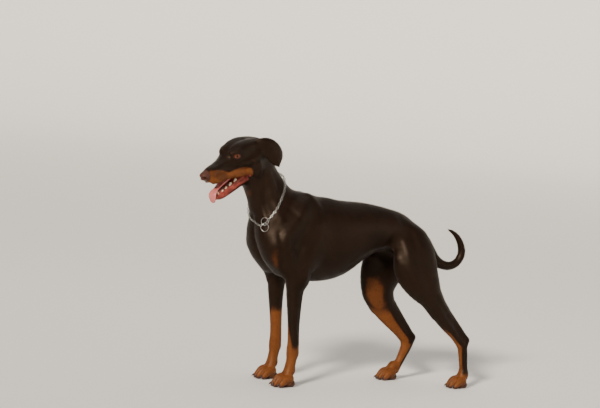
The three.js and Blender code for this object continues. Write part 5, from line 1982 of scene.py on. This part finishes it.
# Lengths of the hair on the legs, at least on the hindquarters' rear, on the face and on the muzzle
LEG_HAIR = 5.2
REAR_HAIR = 7.5
FACE_HAIR = 4.0
MUZZLE_HAIR = 2.6


def hair_length(points):
    """Length of the hairs: long on neck and trunk, shorter down the legs, shortest on face and feet."""
    head = to_head(points)
    x, _, z = points.T
    length = LEG_HAIR + (HAIR_LENGTH - LEG_HAIR) * soft_step(z, 250, 430)
    length = np.where(x > 500, np.maximum(length, REAR_HAIR), length)
    length = length - 1.6 * soft_step(60 - z, 0, 25)
    face = soft_step(head[:, 0], -20, 40) * (z > 600)
    face = np.maximum(face, (coat_regions(points) == "ears") * 1.0)
    length = length + (FACE_HAIR - length) * face
    muzzle = soft_step(head[:, 0], 130, 200) * (z > 600)
    return length + (MUZZLE_HAIR - length) * muzzle


def coat_regions(points):
    """For each point the coat piece that it belongs to, by name, cut apart at the joints."""
    head = to_head(points)
    x, y, z = points.T
    side = np.where(y < 0, "left", "right")
    name = np.where(x < 150, "chest", "flank").astype("U12")
    name[x > 335] = "rump"
    name[(x < 60) & (z < 372)] = "fore"
    name[(x > 225) & (z < 440)] = "hind"
    name = np.char.add(np.char.add(name, "_"), side)
    name[((x > 505) & (z > 390)) | (x > 560) & (z > 330)] = "tail"
    name[((x + 80) * 0.62 - (z - 590) * 0.79) < 0] = "neck"
    name[((x + 176) * 0.66 - (z - 722) * 0.75) < 0] = "head"
    ear = (np.abs(head[:, 1]) > 58) & (head[:, 0] < 40) & (head[:, 2] > -118) & (z > 690)
    name[ear] = "ears"
    return name


UNWRAPS = {
    "head": ([[-30, 0, -60, 40, 40], [120, 0, -60, 40, 40], [290, 0, -60, 20, 20]], HEAD),
    "neck": (NECK, BODY),
    "tail": (TAIL, BODY),
    "fore_left": (FORELEG, BODY),
    "fore_right": (mirrored(FORELEG), BODY),
    "hind_left": (LEFT_THIGH + LEFT_HOCK, BODY),
    "hind_right": (RIGHT_THIGH + RIGHT_HOCK, BODY),
}


def unwrap(name, points):
    """Places on a flat unrolling of the skin, round and along the main line of a region."""
    if name == "ears":
        head = to_head(points)
        u = np.clip(0.25 + (head[:, 0] + 5) / 200, 0.02, 0.48) + 0.5 * (head[:, 1] > 0)
        return u, np.clip((head[:, 2] + 130) / 150, 0.01, 0.99)
    stations, where = UNWRAPS.get(name, (TRUNK, BODY))
    row = smooth_row(stations, 3)
    axis = where[1](row[:, :3])
    along = np.gradient(axis, axis=0)
    along /= np.linalg.norm(along, axis=1)[:, None]
    nearest = ((points[:, None, :] - axis[None]) ** 2).sum(2).argmin(1)
    off = points - axis[nearest]
    run = (off * along[nearest]).sum(1)
    length = np.concatenate([[0], np.cumsum(np.linalg.norm(np.diff(axis, axis=0), axis=1))])
    side = where[0] @ np.array([0.0, 1.0, 0.0])
    across = side - along * (along @ side)[:, None]
    down = np.cross(along, across)
    angle = np.arctan2((off * down[nearest]).sum(1), (off * across[nearest]).sum(1))
    v = (length[nearest] + run + 60) / (length[-1] + 120)
    return 0.02 + 0.96 * (angle / (2 * math.pi) + 0.5), 0.01 + 0.98 * np.clip(v, 0, 1)


def scatter(skin, points, chance, count, rng):
    """Roots spread over the skin: for each the three corners of its face and their shares."""
    mesh = skin.data
    mesh.calc_loop_triangles()
    faces = np.empty(len(mesh.loop_triangles) * 3, np.int32)
    mesh.loop_triangles.foreach_get("vertices", faces)
    faces = faces.reshape(-1, 3)
    a, b, c = (points[faces[:, k]] for k in range(3))
    weight = np.linalg.norm(np.cross(b - a, c - a), axis=1) * chance[faces].min(1)
    picked = faces[rng.choice(len(faces), count, p=weight / weight.sum())]
    shares = rng.dirichlet((1, 1, 1), count)
    return picked, shares


def make_coat(skin, points, normals, lie, marks):
    """Short flat hair over the whole skin in tufts, as one mesh for each region."""
    rng = np.random.default_rng(SEED)
    covered = 1 - np.clip(marks[1] + marks[2], 0, 1)
    length = hair_length(points)
    chance = (covered > 0.6) * (points[:, 2] > 4) * (HAIR_LENGTH / length) ** 1.1
    count = TUFTS
    picked, shares = scatter(skin, points, chance, count, rng)

    def blend(values):
        return (values[picked] * (shares[..., None] if values.ndim > 1 else shares)).sum(1)

    root, out, way = blend(points), blend(normals), blend(lie)
    out /= np.linalg.norm(out, axis=1)[:, None]
    way -= out * (way * out).sum(1)[:, None]
    way /= np.maximum(np.linalg.norm(way, axis=1), 1e-6)[:, None]
    across = np.cross(out, way)
    size = blend(length)
    rust, tone = blend(marks[0]), rng.random(count)
    region = coat_regions(root)
    finish = coat_finish()
    pieces = []
    for name in sorted(set(region.tolist())):
        own = np.flatnonzero(region == name)[: COAT_LIMIT // (3 * HAIRS)]
        given = (values[own] for values in (root, out, way, across, size, rust, tone))
        piece = coat_piece(name, *given, rng)
        piece.data.materials.append(finish)
        pieces.append(piece)
    return pieces


def hair_blades(hair, root, out, way, across, size, rng):
    """One hair of each tuft: two corners at its root, two at its middle and its tip, and their normals."""
    count = len(root)
    place = hair - (HAIRS - 1) / 2
    yaw = rng.normal(0, HAIR_YAW, count)[:, None] + place * TUFT_FAN
    lift = np.abs(rng.normal(HAIR_LIFT, LIFT_SPREAD, count))[:, None]
    long = (size * rng.uniform(*LENGTH_SHARES, count))[:, None]
    shift = rng.uniform(-TUFT_SHIFT, TUFT_SHIFT, count)[:, None]
    half = np.minimum(HAIR_WIDTH, long * HAIR_SLENDER) * across / 2
    heading = way * np.cos(yaw) + across * np.sin(yaw)
    base = root + across * place * TUFT_STEP + way * shift - out * HAIR_SINK
    middle = base + heading * long * 0.5 + out * long * lift
    tip = base + heading * long + out * long * lift * 1.15
    low, high = middle - half * 0.85, middle + half * 0.85
    lean = across * HAIR_LEAN
    corners = np.stack([base - half, base + half, low, high, tip], 1)
    return corners, np.stack([out - lean, out + lean, out - lean, out + lean, out], 1)


def hair_maps(hair, u, v):
    """Places of one hair of each tuft on the bake's map."""
    step = BAKE_PATCH / 3
    left = u + (hair - HAIRS / 2) * step
    corners = [(left, v), (left + step, v), (left, v + step), (left + step, v + step)]
    corners.append((left + step / 2, v + 3 * step))
    return np.stack([np.stack(pair, 1) for pair in corners], 1)


def blade_mesh(name, corners, normals):
    """A mesh of blades, each a quad and a triangle over five corners, and the corner that each loop has."""
    first = np.arange(len(corners) // 5) * 5
    loops = (first[:, None] + np.array([1, 0, 2, 3, 3, 2, 4])).ravel()
    starts = (np.arange(len(first))[:, None] * 7 + np.array([0, 4])).ravel()
    mesh = bpy.data.meshes.new(name)
    mesh.vertices.add(len(corners))
    mesh.vertices.foreach_set("co", ((corners - MIDDLE) * MM).ravel())
    mesh.loops.add(len(loops))
    mesh.loops.foreach_set("vertex_index", loops)
    mesh.polygons.add(len(starts))
    mesh.polygons.foreach_set("loop_start", starts)
    mesh.update(calc_edges=True)
    mesh.shade_smooth()
    normals = normals / np.linalg.norm(normals, axis=1)[:, None]
    mesh.normals_split_custom_set_from_vertices(normals.tolist())
    return mesh, loops


def coat_piece(name, root, out, way, across, size, rust, tone, rng):
    """One region of the coat: each tuft three tapered hairs, bent down to lie along the skin."""
    u, v = unwrap(name, root)
    blades = [hair_blades(hair, root, out, way, across, size, rng) for hair in range(HAIRS)]
    corners, normals = (np.concatenate(part).reshape(-1, 3) for part in zip(*blades))
    maps = np.concatenate([hair_maps(hair, u, v) for hair in range(HAIRS)]).reshape(-1, 2)
    mesh, loops = blade_mesh("coat_" + name, corners, normals)
    layer = mesh.uv_layers.new(name="OFBake")
    layer.data.foreach_set("uv", maps[loops].ravel())
    write_attribute(mesh, "rust", np.tile(np.repeat(rust, 5), HAIRS))
    write_attribute(mesh, "tone", np.tile(np.repeat(tone, 5), HAIRS))
    return linked("coat_" + name, mesh)


set_camera()
make_floor()
light_studio()

field = Field(all_shapes(), COAT_DEPTH)
field.ridges = all_ridges(field)
skin, skin_points, skin_normals = make_skin(field)
coat = dress_skin(skin, skin_points, skin_normals)
flesh = Field(body_shapes(), 0)
collar = make_collar(flesh)
eyes = {"eye_left": make_eye("eyeball_left", 1), "eye_right": make_eye("eyeball_right", -1)}
skin_material = skin.data.materials[0]
lids = [make_lids("lids_left", 1, skin_material), make_lids("lids_right", -1, skin_material)]
tongue = make_tongue()
claws = make_horns("claws", claw_rows(), claw_finish(), CLAW_BEND)
upper_teeth = tooth_rows(UPPER_TEETH, UPPER_GUM, -1, HEAD_TURN, from_head)
lower_teeth = tooth_rows(LOWER_TEETH, LOWER_GUM, 1, JAW_TURN, from_jaw)
teeth = make_horns("teeth", upper_teeth + lower_teeth, tooth_finish(), TOOTH_BEND)

for piece in [skin, tongue, claws, teeth, *lids, *coat, *collar.values(), *eyes.values()]:
    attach(piece, "root")
FLESH_NODES = [n for n in frame["nodes"] if not n.startswith(("eye", "collar", "tongue"))]
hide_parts(*FLESH_NODES)
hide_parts("tongue")
for node, piece in [*collar.items(), *eyes.items()]:
    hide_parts(node)
    "eye" if node in eyes else "steel"
